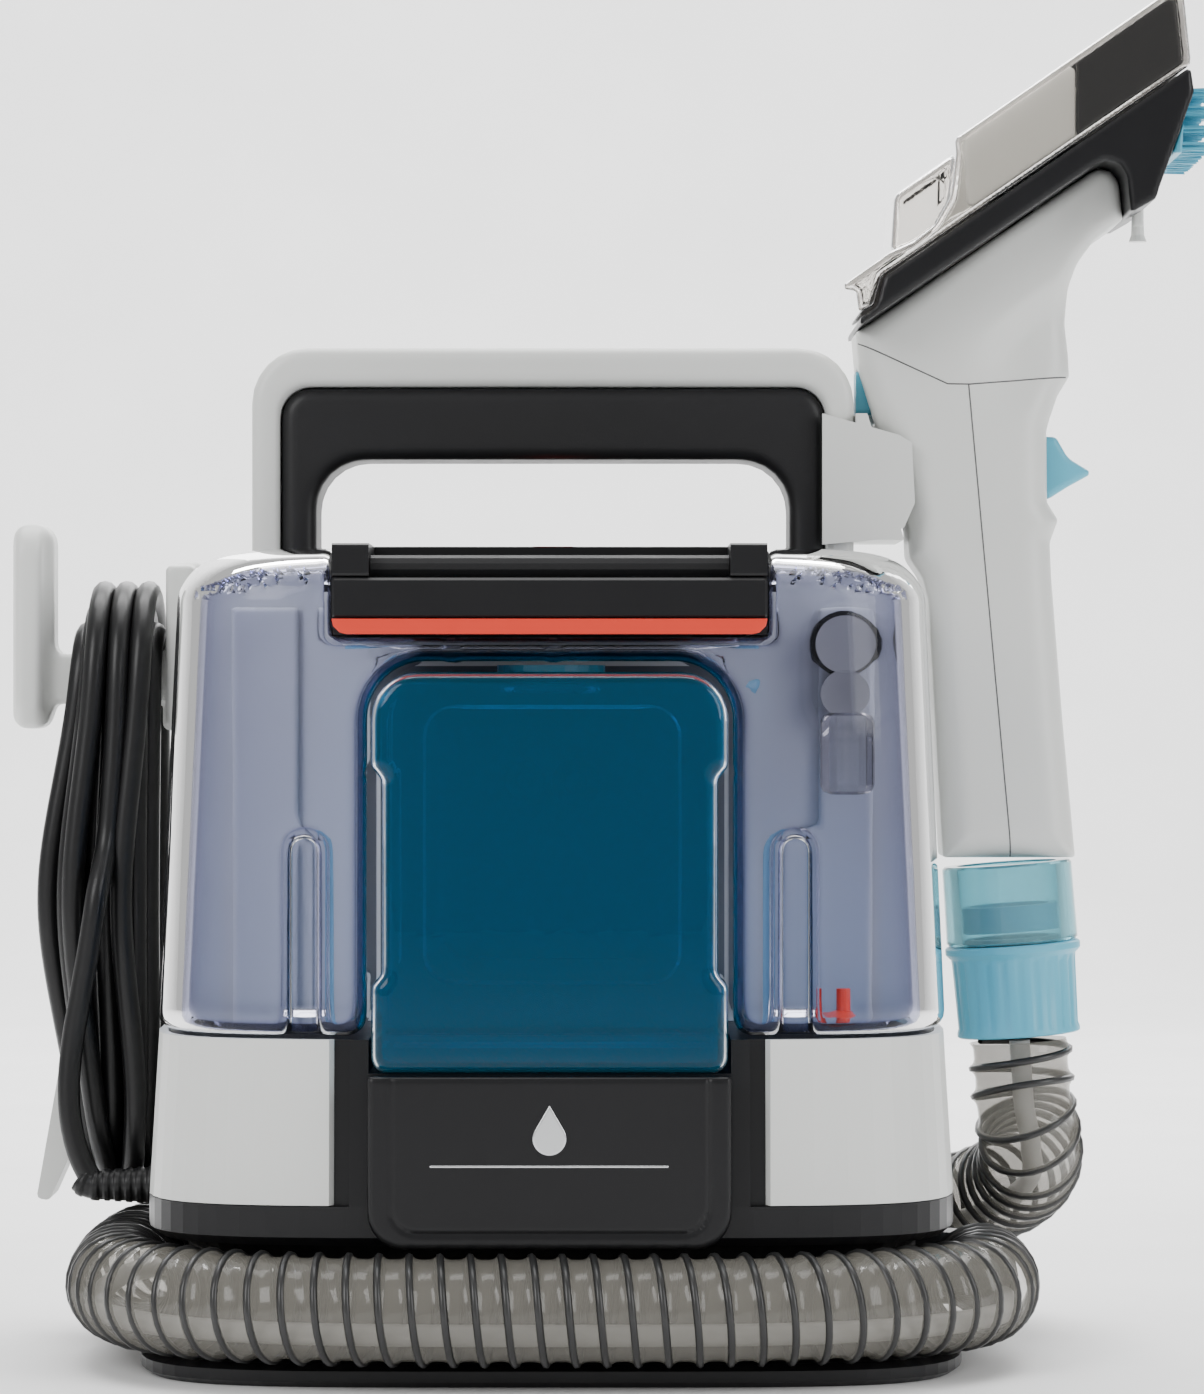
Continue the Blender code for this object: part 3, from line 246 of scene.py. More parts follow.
SLOTS = {
    "white_plastic": WHITE, "black_plastic": BLACK, "red_plastic": RED,
    "turquoise_plastic": TURQUOISE, "clear_violet_plastic": CLEAR, "clear_blue_plastic": BLUE,
    "clear_smoke_plastic": SMOKE, "clear_teal_plastic": TEAL, "grey_plastic": GREY,
    "hose_film": HOSE_SKIN, "black_rubber": RUBBER, "steel": STEEL,
    "copper_winding": COPPER, "circuit_board": BOARD,
}


# ---- mesh tools ----
def finish_piece(piece, material, body, replaced=()):
    piece.data.materials.clear()
    piece.data.materials.append(material)
    if replaced:
        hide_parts(*replaced)
    if body:
        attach(piece, body)
    return piece


def mesh_piece(name, verts, faces, smooth=True):
    mesh = bpy.data.meshes.new(name)
    verts = np.asarray(verts, np.float32)
    if isinstance(faces, np.ndarray):
        count, sides = faces.shape
        mesh.vertices.add(len(verts))
        mesh.vertices.foreach_set("co", verts.ravel())
        mesh.loops.add(count * sides)
        mesh.loops.foreach_set("vertex_index", faces.astype(np.int32).ravel())
        mesh.polygons.add(count)
        mesh.polygons.foreach_set("loop_start", np.arange(count, dtype=np.int32) * sides)
        mesh.update(calc_edges=True)
        mesh.validate()
    else:
        mesh.from_pydata(verts.tolist(), [], faces)
    mesh.polygons.foreach_set("use_smooth", [smooth] * len(mesh.polygons))
    piece = bpy.data.objects.new(name, mesh)
    bpy.context.scene.collection.objects.link(piece)
    return piece


def surface_net(field, low, high, step):
    """Quads on the zero level of a distance field, pulled onto it by Newton steps."""
    axes = [np.arange(low[i] - 1.5 * step, high[i] + 2.5 * step, step) for i in range(3)]
    grid = np.meshgrid(*axes, indexing="ij", sparse=True)
    shape = tuple(len(a) for a in axes)
    depth = np.broadcast_to(field(*grid), shape)
    inside = depth < 0
    cells = tuple(n - 1 for n in shape)
    corners = [(i, j, k) for i in (0, 1) for j in (0, 1) for k in (0, 1)]

    def part(array, offset):
        return array[tuple(slice(o, o + c) for o, c in zip(offset, cells))]

    filled = sum(part(inside, c).astype(np.int8) for c in corners)
    active = (filled > 0) & (filled < 8)
    where = np.argwhere(active)
    total = np.zeros((len(where), 3))
    hits = np.zeros(len(where))
    value = {c: part(depth, c)[active] for c in corners}
    for a in corners:
        for axis in range(3):
            if a[axis]:
                continue
            b = tuple(1 if i == axis else v for i, v in enumerate(a))
            cross = (value[a] < 0) != (value[b] < 0)
            share = value[a][cross] / (value[a][cross] - value[b][cross])
            spot = np.tile(np.array(a, float), (cross.sum(), 1))
            spot[:, axis] += share
            total[cross] += spot
            hits[cross] += 1
    verts = (where + total / hits[:, None]) * step + np.array([a[0] for a in axes])
    number = np.full(cells, -1, np.int64)
    number[active] = np.arange(len(where))
    faces = []
    for axis in range(3):
        u, v = [i for i in range(3) if i != axis]
        first = [slice(1, -1)] * 3
        second = list(first)
        first[axis] = slice(0, -1)
        second[axis] = slice(1, None)
        one, two = inside[tuple(first)], inside[tuple(second)]
        for flip in (False, True):
            change = (two & ~one) if flip else (one & ~two)
            spots = np.argwhere(change)
            start = spots.copy()
            start[:, u] += 1
            start[:, v] += 1
            ring = []
            for du, dv in ((0, 0), (-1, 0), (-1, -1), (0, -1)):
                cell = start.copy()
                cell[:, u] += du
                cell[:, v] += dv
                ring.append(number[cell[:, 0], cell[:, 1], cell[:, 2]])
            quad = np.stack(ring, axis=1)
            turn = flip if axis == 1 else not flip
            faces.append(quad[:, ::-1] if turn else quad)
    faces = np.concatenate(faces)
    tiny = 0.0002
    for _ in range(3):
        x, y, z = verts.T
        here = field(x, y, z)
        slope = np.stack([field(x + tiny, y, z) - field(x - tiny, y, z),
                          field(x, y + tiny, z) - field(x, y - tiny, z),
                          field(x, y, z + tiny) - field(x, y, z - tiny)], axis=1) / (2 * tiny)
        size = np.maximum((slope * slope).sum(axis=1), 0.25)
        move = -(here / size)[:, None] * slope
        verts = verts + np.clip(move, -0.4 * step, 0.4 * step)
    return verts, faces


def solid(name, field, low, high, step, material, body, slot, replaced=()):
    verts, faces = surface_net(field, low, high, step)
    piece = mesh_piece(name, verts, faces)
    return finish_piece(piece, material, body, replaced)


def smooth_max(a, b, k):
    near = np.maximum(k - np.abs(a - b), 0) / k
    return np.maximum(a, b) + near * near * k * 0.25


def smooth_min(a, b, k):
    return -smooth_max(-a, -b, k)


def polygon(u, v, points):
    """Signed distance to a closed outline in a plane."""
    best = None
    inside = False
    for (ax, ay), (bx, by) in zip(points, points[1:] + points[:1]):
        ex, ey = bx - ax, by - ay
        along = np.clip(((u - ax) * ex + (v - ay) * ey) / (ex * ex + ey * ey), 0, 1)
        gap = (u - ax - along * ex) ** 2 + (v - ay - along * ey) ** 2
        best = gap if best is None else np.minimum(best, gap)
        if ay != by:
            crosses = ((ay > v) != (by > v)) & (u < ex * (v - ay) / ey + ax)
            inside = inside ^ crosses
    return np.sqrt(best) * np.where(inside, -1.0, 1.0)


def rectangle(u, v, low_u, high_u, low_v, high_v, r):
    du = np.abs(u - (low_u + high_u) / 2) - (high_u - low_u) / 2 + r
    dv = np.abs(v - (low_v + high_v) / 2) - (high_v - low_v) / 2 + r
    return np.hypot(np.maximum(du, 0), np.maximum(dv, 0)) + np.minimum(np.maximum(du, dv), 0) - r


def thick(flat, across, low, high, r):
    """A flat shape given depth from low to high, with edges rounded by r."""
    side = np.abs(across - (low + high) / 2) - (high - low) / 2 + r
    flat = flat + r
    return np.hypot(np.maximum(flat, 0), np.maximum(side, 0)) + np.minimum(np.maximum(flat, side), 0) - r


def block(x, y, z, low, high, r):
    return thick(rectangle(x, z, low[0], high[0], low[2], high[2], r), y, low[1], high[1], r)


def shell(depth, wall):
    return np.abs(depth + wall / 2) - wall / 2


def fillet(points, radii, steps=6):
    """Rounds the corners of an outline."""
    result = []
    count = len(points)
    for i in range(count):
        corner = Vector(points[i])
        before = Vector(points[i - 1]) - corner
        after = Vector(points[(i + 1) % count]) - corner
        r = radii[i] if isinstance(radii, (list, tuple)) else radii
        half = before.angle(after) / 2
        reach = r / math.tan(half)
        reach = min(reach, before.length * 0.49, after.length * 0.49)
        r = reach * math.tan(half)
        if r < 1e-5:
            result.append(tuple(corner))
            continue
        a, b = before.normalized(), after.normalized()
        centre = corner + (a + b).normalized() * (r / math.sin(half))
        start, end = corner + a * reach - centre, corner + b * reach - centre
        for k in range(steps + 1):
            result.append(tuple(centre + start.slerp(end, k / steps).normalized() * start.length))
    return result


def smooth_path(points, per_span):
    """Catmull-Rom points through the given ones."""
    pts = [Vector(p) for p in points]
    pts = [pts[0] * 2 - pts[1]] + pts + [pts[-1] * 2 - pts[-2]]
    result = []
    for a, b, c, d in zip(pts, pts[1:], pts[2:], pts[3:]):
        for k in range(per_span):
            t = k / per_span
            result.append(0.5 * (2 * b + (c - a) * t + (2 * a - 5 * b + 4 * c - d) * t * t
                                 + (3 * b - a - 3 * c + d) * t ** 3))
    result.append(pts[-2])
    return result


def even_path(points, spacing):
    """The same line with points at even spacing, and its length."""
    line = np.array([tuple(p) for p in points])
    run = np.concatenate([[0], np.cumsum(np.linalg.norm(np.diff(line, axis=0), axis=1))])
    count = max(int(round(run[-1] / spacing)), 2)
    marks = np.linspace(0, run[-1], count + 1)
    return np.stack([np.interp(marks, run, line[:, i]) for i in range(3)], axis=1), run[-1]


def path_frames(line):
    """Directions and steady sideways axes along a line."""
    ahead = np.gradient(line, axis=0)
    ahead /= np.linalg.norm(ahead, axis=1)[:, None]
    side = np.zeros_like(line)
    current = np.cross(ahead[0], [0, 0, 1.0])
    if np.linalg.norm(current) < 0.2:
        current = np.cross(ahead[0], [0, 1.0, 0])
    for i, direction in enumerate(ahead):
        current = current - direction * (current @ direction)
        current /= np.linalg.norm(current)
        side[i] = current
    return ahead, side, np.cross(side, ahead)


def tube_mesh(line, radius, around):
    """A tube along a line. radius is a number, or a function of (distance share, angle) arrays."""
    _, side, up = path_frames(line)
    count = len(line)
    angle = np.linspace(0, math.tau, around, endpoint=False)
    share = np.linspace(0, 1, count)
    r = radius(share[:, None], angle[None, :]) if callable(radius) else np.full((count, around), radius)
    verts = (line[:, None, :] + r[..., None] * (np.cos(angle)[None, :, None] * side[:, None, :]
                                                + np.sin(angle)[None, :, None] * up[:, None, :]))
    verts = verts.reshape(-1, 3)
    i, j = np.meshgrid(np.arange(count - 1), np.arange(around), indexing="ij")
    i, j = i.ravel(), j.ravel()
    nxt = (j + 1) % around
    here, beyond = i * around, (i + 1) * around
    faces = np.stack([here + j, here + nxt, beyond + nxt, beyond + j], axis=1)
    return verts, faces


def lathe(name, profile, base, direction, count, material, body, replaced=(), ripple=None):
    """A turned shape. profile runs (radius, distance) and closes on itself."""
    axis = Vector(direction).normalized()
    side = axis.orthogonal().normalized()
    across = axis.cross(side)
    base = Vector(base)
    verts = []
    for k in range(count):
        turn = math.tau * k / count
        out = side * math.cos(turn) + across * math.sin(turn)
        for radius, distance in profile:
            extra = ripple(turn, radius, distance) if ripple else 0.0
            verts.append(tuple(base + axis * distance + out * (radius + extra)))
    rows = len(profile)
    faces = []
    for k in range(count):
        n = (k + 1) % count
        for i in range(rows):
            j = (i + 1) % rows
            faces.append((k * rows + i, n * rows + i, n * rows + j, k * rows + j))
    piece = mesh_piece(name, verts, faces)
    weld = piece.modifiers.new("weld", "WELD")
    weld.merge_threshold = 0.00002
    soften(piece, 35)
    return finish_piece(piece, material, body, replaced)


def soften(piece, degrees):
    """Smooth shading that keeps edges sharper than the given angle."""
    mesh = piece.data
    mesh.polygons.foreach_set("use_smooth", [True] * len(mesh.polygons))
    mesh.set_sharp_from_angle(angle=math.radians(degrees))


# ---- suction hose ----
HOSE_RADIUS = 0.0175
RIB_PITCH = 0.0093
RIB_VALLEY, RIB_HEIGHT, RIB_WIDTH = 0.0021, 0.0016, 0.17
WIRE_RADIUS = 0.00125
WATER_LINE_RADIUS = 0.0034
TOOL_TILT = math.radians(4.2)
TOOL_Y = 0.022
HOSE_LEVEL = 0.0248
ROUND_THE_WAIST = (
    (0.1375, -0.0172), (0.1375, -0.0400), (0.1325, -0.0600), (0.1180, -0.079), (0.0900, -0.0975),
    (0.0500, -0.1055), (0.0000, -0.1070), (-0.0500, -0.1055), (-0.0900, -0.0975), (-0.1180, -0.079),
    (-0.1340, -0.052), (-0.1380, -0.020), (-0.1380, 0.015), (-0.1340, 0.048), (-0.1180, 0.076),
    (-0.0900, 0.0960), (-0.0500, 0.1050), (0.0000, 0.1072),
)
RISE_TO_TOOL = [
    (0.0550, 0.1080, 0.0252), (0.1000, 0.1060, 0.0290), (0.1330, 0.0930, 0.0355),
    (0.1510, 0.0720, 0.0440), (0.1580, 0.0490, 0.0530), (0.1580, 0.0300, 0.0630),
]
HOSE_ROUTE = [(x, y, HOSE_LEVEL) for x, y in ROUND_THE_WAIST] + RISE_TO_TOOL
COLLAR_FOOT = (0.1512, TOOL_Y, 0.130)
WATER_LINE_DROP, WATER_LINE_OUT = 0.0066, 0.0078
WATER_LINE_TOP, WATER_LINE_FADE = 0.060, 0.025


def tool_axis(distance):
    """A point down the tool's own axis from the collar's lower edge."""
    x, y, z = COLLAR_FOOT
    return (x + math.sin(TOOL_TILT) * distance, y, z - math.cos(TOOL_TILT) * distance)


def make_hose():
    """The ribbed film, the wire wound in its valleys, and the pale water line inside."""
    route = HOSE_ROUTE + [tool_axis(0.0545), tool_axis(0.0430), tool_axis(0.0322)]
    line, length = even_path(smooth_path(route, 24), RIB_PITCH / 9)
    turns = length / RIB_PITCH

    def ribbed(share, angle):
        phase = (share * turns + angle / math.tau) % 1.0
        crest = np.exp(-((phase - 0.5) / RIB_WIDTH) ** 2)
        return HOSE_RADIUS - RIB_VALLEY + RIB_HEIGHT * crest

    skin = mesh_piece("hose_skin", *tube_mesh(line, ribbed, 40))
    _, side, up = path_frames(line)
    run = np.linspace(0, 1, len(line))
    fine = np.linspace(0, 1, int(turns * 26))
    centre = np.stack([np.interp(fine, run, line[:, i]) for i in range(3)], axis=1)
    a = np.stack([np.interp(fine, run, side[:, i]) for i in range(3)], axis=1)
    b = np.stack([np.interp(fine, run, up[:, i]) for i in range(3)], axis=1)
    spin = math.tau * (0.5 - fine * turns)
    helix = centre + (HOSE_RADIUS - WIRE_RADIUS) * (np.cos(spin)[:, None] * a + np.sin(spin)[:, None] * b)
    wire = mesh_piece("hose_wire", *tube_mesh(helix, WIRE_RADIUS, 6))
    outward = -side if (side[len(side) // 3] @ np.array([0, -1.0, 0])) < 0 else side
    level = np.clip((WATER_LINE_TOP - line[:, 2:3]) / WATER_LINE_FADE, 0, 1)
    inner = line + level * (-WATER_LINE_DROP * np.array([0, 0, 1.0]) + WATER_LINE_OUT * outward)
    water = mesh_piece("hose_water_line", *tube_mesh(inner[::3], WATER_LINE_RADIUS, 14))
    for piece, material, slot in ((skin, HOSE_SKIN, "hose_film"), (wire, WIRE, "black_plastic"),
                                  (water, PALE, "white_plastic")):
        finish_piece(piece, material, None)
        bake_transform(piece)
    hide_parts("hose")


# ---- mains cord ----
CORD_RADIUS = 0.00375
HOOK_Y = 0.040
LOWER_HOOK_Z = 0.0720
UPPER_HOOK_Z = 0.217
INNER_TURN = 0.01635
LAYER_PITCH, COLUMN_PITCH = 0.0066, 0.0073
FIRST_COLUMN_X = -0.1330
LAYER_SHIFT = (0.0, 0.5, 0.25)
TURN_STEPS, FRONT_STEPS, BACK_STEPS = 12, 6, 8
FRONT_BOW, BACK_BOW = 0.0035, 0.003
TAIL_GAP = 0.012
SIDEWAYS_PASSES, OTHER_PASSES = 40, 4
CORD_LEAD = [
    (-0.1435, -0.006, 0.053), (-0.1500, -0.006, 0.0532), (-0.1545, -0.005, 0.0565),
    (-0.1585, -0.005, 0.0660), (-0.1590, -0.004, 0.080), (-0.1570, -0.0025, 0.097),
    (-0.1530, -0.0025, 0.115), (-0.1490, -0.0025, 0.135), (-0.1480, -0.0025, 0.150),
]
CORD_TAIL = [
    (-0.1450, 0.0815, 0.150), (-0.1450, 0.0830, 0.140), (-0.1452, 0.0845, 0.128),
    (-0.1455, 0.0850, 0.1200), (-0.1455, 0.0850, 0.1165),
]
WINDINGS = [  # layer, column, X where the strand spreads at mid height
    (2, 1, -0.1460), (0, 0, -0.1335), (0, 1, -0.1400), (0, 2, -0.1530), (0, 3, -0.1688), (1, 2, -0.1610),
    (1, 1, -0.1475), (1, 0, -0.1370), (2, 2, -0.1585), (2, 0, -0.1425),
]


def winding_place(layer, column):
    """Radius and X of a strand where it passes round the hooks."""
    return INNER_TURN + LAYER_PITCH * layer, FIRST_COLUMN_X - COLUMN_PITCH * (column + LAYER_SHIFT[layer])


STRAIGHT = UPPER_HOOK_Z - LOWER_HOOK_Z


def bow(share):
    """How far a strand stands out between the hooks, from 0 at each hook to 1 at mid height."""
    return math.sin(math.pi * share) ** 1.5


def front_point(x, radius, share):
    """A point on a strand's run up the front, its share of the way between the hooks."""
    return Vector((x, HOOK_Y - radius - FRONT_BOW * bow(share), LOWER_HOOK_Z + STRAIGHT * share))


def hook_turn(start, end, height, upward):
    """Points half round a hook, from one (radius, X) to another: over the top, or under the bottom."""
    points = []
    for k in range(1, TURN_STEPS + 1):
        turn = math.pi * k / TURN_STEPS
        share = k / TURN_STEPS
        radius = start[0] + (end[0] - start[0]) * share
        x = start[1] + (end[1] - start[1]) * share
        if upward:
            points.append(Vector((x, HOOK_Y - radius * math.cos(turn), height + radius * math.sin(turn))))
        else:
            drop = (INNER_TURN + (radius - INNER_TURN) * 0.60) * math.sin(turn)
            points.append(Vector((x, HOOK_Y + radius * math.cos(turn), height - drop)))
    return points


def wind_cord():
    """The cord's route: up the front, over the upper hook, down the back and under the lower hook."""
    points = [Vector(p) for p in smooth_path(CORD_LEAD, 6)]
    count = len(WINDINGS)
    for number, (layer, column, spread) in enumerate(WINDINGS):
        radius, x = winding_place(layer, column)
        following = WINDINGS[min(number + 1, count - 1)]
        next_radius, next_x = winding_place(following[0], following[1])
        first = (CORD_LEAD[-1][2] - LOWER_HOOK_Z) / STRAIGHT if number == 0 else 0.5
        for k in range(1, FRONT_STEPS + 1):
            share = first + (1 - first) * k / FRONT_STEPS
            ease = min(max((share - 0.5) / 0.5, 0), 1)
            here = spread * (1 - ease) + x * ease if share > 0.5 else spread
            points.append(front_point(here, radius, share))
        points += hook_turn((radius, x), (radius, x), UPPER_HOOK_Z, upward=True)
        last = number == count - 1
        for k in range(1, BACK_STEPS + 1):
            share = k / BACK_STEPS
            height = UPPER_HOOK_Z - STRAIGHT * share
            if last and height < CORD_TAIL[0][2] + TAIL_GAP:
                break
            wide = x + (spread - x) * 0.6 * bow(share)
            points.append(Vector((wide, HOOK_Y + radius + BACK_BOW * bow(share), height)))
        if last:
            break
        points += hook_turn((radius, x), (next_radius, next_x), LOWER_HOOK_Z, upward=False)
        for k in range(1, FRONT_STEPS + 1):
            share = 0.5 * k / FRONT_STEPS
            ease = share / 0.5
            here = next_x * (1 - ease) + following[2] * ease
            points.append(front_point(here, next_radius, share))
    return points + [Vector(p) for p in smooth_path(CORD_TAIL, 5)]


def make_cord():
    line, length = even_path(smooth_path(wind_cord(), 3), 0.004)
    for number in range(SIDEWAYS_PASSES):
        eased = (line[1:-3] + 2 * line[2:-2] + line[3:-1]) / 4
        line[2:-2, 0] = eased[:, 0]
        if number < OTHER_PASSES:
            line[2:-2, 1:] = eased[:, 1:]
    curve = bpy.data.curves.new("mains_cord", "CURVE")
    curve.dimensions = "3D"
    curve.bevel_depth = CORD_RADIUS
    curve.bevel_resolution = 4
    curve.use_fill_caps = True
    spline = curve.splines.new("POLY")
    spline.points.add(len(line) - 1)
    for point, place in zip(spline.points, line):
        point.co = (*place, 1)
    spline.use_smooth = True
    cord = bpy.data.objects.new("mains_cord", curve)
    bpy.context.scene.collection.objects.link(cord)
    finish_piece(cord, RUBBER, "machine", ("cord_lead", "cord_coil", "cord_tail"))
    make_plug()


# ---- clear recovery tank ----
TANK_BOTTOM, TANK_TOP, TANK_BACK = 0.107, 0.258, -0.012
SHOULDER = 0.240
BODY_Y = -0.0015
TANK_WALL = 0.0026
PLAN_POWER = 5
FOOT_HALF = (0.1250, 0.0955)
FOOT_TAPER = (0.0063, 0.0020)
DOME_CORE = (0.0920, 0.0670)
DOME_REACH = (0.0267, 0.0265)
DOME_HEIGHT = 0.0185
SIDE_SLOPE = -0.047


def tank_plan(x, y, z):
    """Distance to the tank's outer wall: a square-shouldered plan that tapers and rounds over at the top."""
    power = PLAN_POWER
    t = np.clip((z - SHOULDER) / (TANK_TOP + 0.0005 - SHOULDER), 0, 0.999)
    dome = np.sqrt(1 - t * t)
    low = np.clip((z - TANK_BOTTOM) / (SHOULDER - TANK_BOTTOM), -0.2, 1)
    a, b = [np.where(t > 0, DOME_CORE[i] + DOME_REACH[i] * dome, FOOT_HALF[i] - FOOT_TAPER[i] * low)
            for i in (0, 1)]
    drop = np.where(t > 0, -t / dome / DOME_HEIGHT * DOME_REACH[0], SIDE_SLOPE)
    u, v = np.abs(x) / a, np.abs(y - BODY_Y) / b
    s = np.maximum((u ** power + v ** power) ** (1 / power), 0.2)
    slope_x = (u / s) ** (power - 1) / a
    slope_y = (v / s) ** (power - 1) / b
    slope_z = (u / s) ** power * s / a * drop + (v / s) ** power * s / b * drop
    return (s - 1) / np.sqrt(slope_x ** 2 + slope_y ** 2 + slope_z ** 2)


def tank_solid(x, y, z):
    """The filled tank: its plan cut by a flat back, a notch for the blue tank, the lid and two channels."""
    depth = smooth_max(tank_plan(x, y, z), z - TANK_TOP, 0.005)
    depth = smooth_max(depth, y - TANK_BACK, 0.008)
    depth = smooth_max(depth, TANK_BOTTOM + 0.0002 - z, 0.006)
    notch = rectangle(x, z, -0.0562, 0.0562, 0.0, 0.222, 0.018)
    depth = smooth_max(depth, -notch, 0.007)
    lid = thick(rectangle(x, z, -0.0668, 0.0668, 0.2297, 0.34, 0.001), y, -0.2, -0.0165, 0.001)
    depth = smooth_max(depth, -lid, 0.003)
    channel = thick(rectangle(np.abs(x), z, 0.0712, 0.0797, 0.080, 0.1680, 0.0042), y, -0.20, -0.0860, 0.002)
    return smooth_max(depth, -channel, 0.0035)


def tank_field(x, y, z):
    """The tank's wall, with two small ribs under the lid and an oval ridge round the ports."""
    depth = shell(tank_solid(x, y, z), TANK_WALL)
    small = block(np.abs(x + 0.0145), y, z, (0.0145, -0.091, 0.2225), (0.0167, -0.060, 0.2297), 0.0008)
    rib = np.maximum(small, tank_solid(x, y, z) + 0.0006)
    depth = smooth_min(depth, rib, 0.0025)
    oval = rectangle(x, z, 0.0820, 0.1060, 0.199, 0.2405, 0.0118)
    ridge = np.hypot(np.abs(oval), y - TANK_BACK + TANK_WALL) - 0.0016
    return smooth_min(depth, ridge, 0.0020)


def make_clear_tank():
    solid("clear_tank", tank_field, (-0.126, -0.098, 0.1055), (0.126, -0.0115, 0.259), 0.00175,
          CLEAR, "recovery_tank", "clear_violet_plastic", ("clear_tank_shell",))
    for name, spot, radius in (("tank_port_upper", (0.094, 0.228), 0.0093),
                               ("tank_port_lower", (0.094, 0.212), 0.0077)):
        ring = [(0.0, 0.0), (radius * 0.55, 0.0), (radius, -0.0006), (radius, 0.0014), (0.0, 0.0014)]
        lathe(name, ring, (spot[0], -0.0166, spot[1]), (0, 1, 0), 36, PORT, "recovery_tank")


# ---- blue clean-water tank ----
def blue_outline():
    half, low, high, step = 0.0545, 0.096, 0.2186, 0.0032
    corners = [(-half, low), (half, low), (half, 0.1226), (half - step, 0.1266), (half - step, 0.1857),
               (half, 0.1897), (half, high), (-half, high), (-half, 0.1897), (-half + step, 0.1857),
               (-half + step, 0.1266), (-half, 0.1226)]
    foot, waist, top = [0.005] * 2, [0.003] * 4, [0.018] * 2
    return fillet(corners, foot + waist + top + waist)


BLUE_OUTLINE = blue_outline()
BLUE_FRONT, BLUE_BACK = -0.101, -0.016
BLUE_WALL = 0.0028
FILLER_Y, FILLER_BORE, FILLER_RIM = -0.052, 0.0142, 0.0153


def blue_solid(x, y, z):
    depth = thick(polygon(x, z, BLUE_OUTLINE), y, BLUE_FRONT, BLUE_BACK, 0.0045)
    dish = thick(rectangle(x, z, -0.0385, 0.0385, 0.1217, 0.2055, 0.007), y, -0.0205, 0.010, 0.0015)
    inner = thick(rectangle(x, z, -0.0330, 0.0330, 0.1296, 0.2019, 0.006), y, -0.0245, 0.010, 0.0015)
    depth = smooth_max(depth, -dish, 0.003)
    return smooth_max(depth, -inner, 0.003)


def blue_field(x, y, z):
    depth = shell(blue_solid(x, y, z), BLUE_WALL)
    ledge = block(x, y, z, (-0.0500, -0.0985, 0.1075), (0.0500, -0.0890, 0.1095), 0.0009)
    depth = smooth_min(depth, ledge, 0.0016)
    neck = np.hypot(x, y - FILLER_Y)
    collar = np.maximum(np.abs(neck - FILLER_RIM) - 0.0013, np.abs(z - 0.2150) - 0.0030)
    depth = smooth_min(depth, collar, 0.001)
    return smooth_max(depth, -np.maximum(neck - FILLER_BORE, 0.2000 - z), 0.0008)


def make_blue_tank():
    solid("blue_tank", blue_field, (-0.0545, BLUE_FRONT, 0.096), (0.0545, BLUE_BACK, 0.2186), 0.0014,
          BLUE, "clean_tank", "clear_blue_plastic", ("blue_tank_shell",))
    for name, x, z, radius in (("blue_port_small", -0.0087, 0.1842, 0.0077),
                               ("blue_port_large", 0.0075, 0.1836, 0.0095)):
        ring = [(0.0, 0.0), (radius * 0.35, 0.0), (radius * 0.4, 0.0010), (radius * 0.8, 0.0010),
                (radius * 0.85, 0.0), (radius, 0.0), (radius, 0.0032), (0.0, 0.0032)]
        lathe(name, ring, (x, -0.0244, z), (0, 1, 0), 36, DARK, "clean_tank")


# ---- handle, dock, hooks and panels ----
def arch(half, top, inner_half, inner_top, radius, inner_radius, bottom):
    corners = [(-half, bottom), (-half, top), (half, top), (half, bottom), (inner_half, bottom),
               (inner_half, inner_top), (-inner_half, inner_top), (-inner_half, bottom)]
    return fillet(corners, [0.0005, radius, radius, 0.0005, 0.0005, inner_radius, inner_radius, 0.0005])


def outline_box(outline, low_y, high_y):
    xs, zs = zip(*outline)
    return (min(xs), low_y, min(zs)), (max(xs), high_y, max(zs))


def pressed(name, outline, depth, edge, step, material, body, slot, replaced=(), extra=None):
    """A rounded plate: an XZ outline given depth along Y."""
    def field(x, y, z):
        result = thick(polygon(x, z, outline), y, depth[0], depth[1], edge)
        return extra(result, x, y, z) if extra else result
    return solid(name, field, *outline_box(outline, *depth), step, material, body, slot, replaced)


def make_handle():
    foot = 0.2503
    outer = arch(0.098, 0.3247, 0.0888, 0.3120, 0.018, 0.010, foot)
    pressed("handle_outer", outer, (0.0, 0.038), 0.0035, 0.0015, WHITE, "machine", "white_plastic",
            ("handle_shell",))
    inner = arch(0.0885, 0.3117, 0.077, 0.2883, 0.0097, 0.016, foot)
    pressed("handle_inner", inner, (0.001, 0.037), 0.0045, 0.0015, BLACK_SATIN, "machine", "black_plastic",
            ("handle_grip",))


UPPER_HOOK_SIDE = [
    (-0.1180, 0.2010), (-0.1180, 0.2550), (-0.1235, 0.2550), (-0.1275, 0.2253), (-0.1662, 0.2253),
    (-0.1662, 0.2670), (-0.1780, 0.2670), (-0.1780, 0.2020), (-0.1700, 0.2020), (-0.1660, 0.2087),
    (-0.1290, 0.2087), (-0.1290, 0.2010),
]
UPPER_HOOK = fillet(UPPER_HOOK_SIDE, [0.001, 0.001, 0.003, 0.003, 0.004, 0.0058, 0.0058, 0.004, 0.003, 0.003,
                                      0.001, 0.001])


def hook_field(x, y, z):
    depth = thick(polygon(x, z, UPPER_HOOK), y, HOOK_Y - 0.0083, HOOK_Y + 0.0083, 0.003)
    face = rectangle(y, z, HOOK_Y - 0.016, HOOK_Y + 0.016, 0.202, 0.267, 0.009)
    paddle = thick(face, x, -0.1780, -0.1690, 0.0030)
    foot = block(x, y, z, (-0.1280, HOOK_Y - 0.017, 0.201), (-0.1185, HOOK_Y + 0.017, 0.2545), 0.002)
    return smooth_min(smooth_min(depth, paddle, 0.006), foot, 0.005)


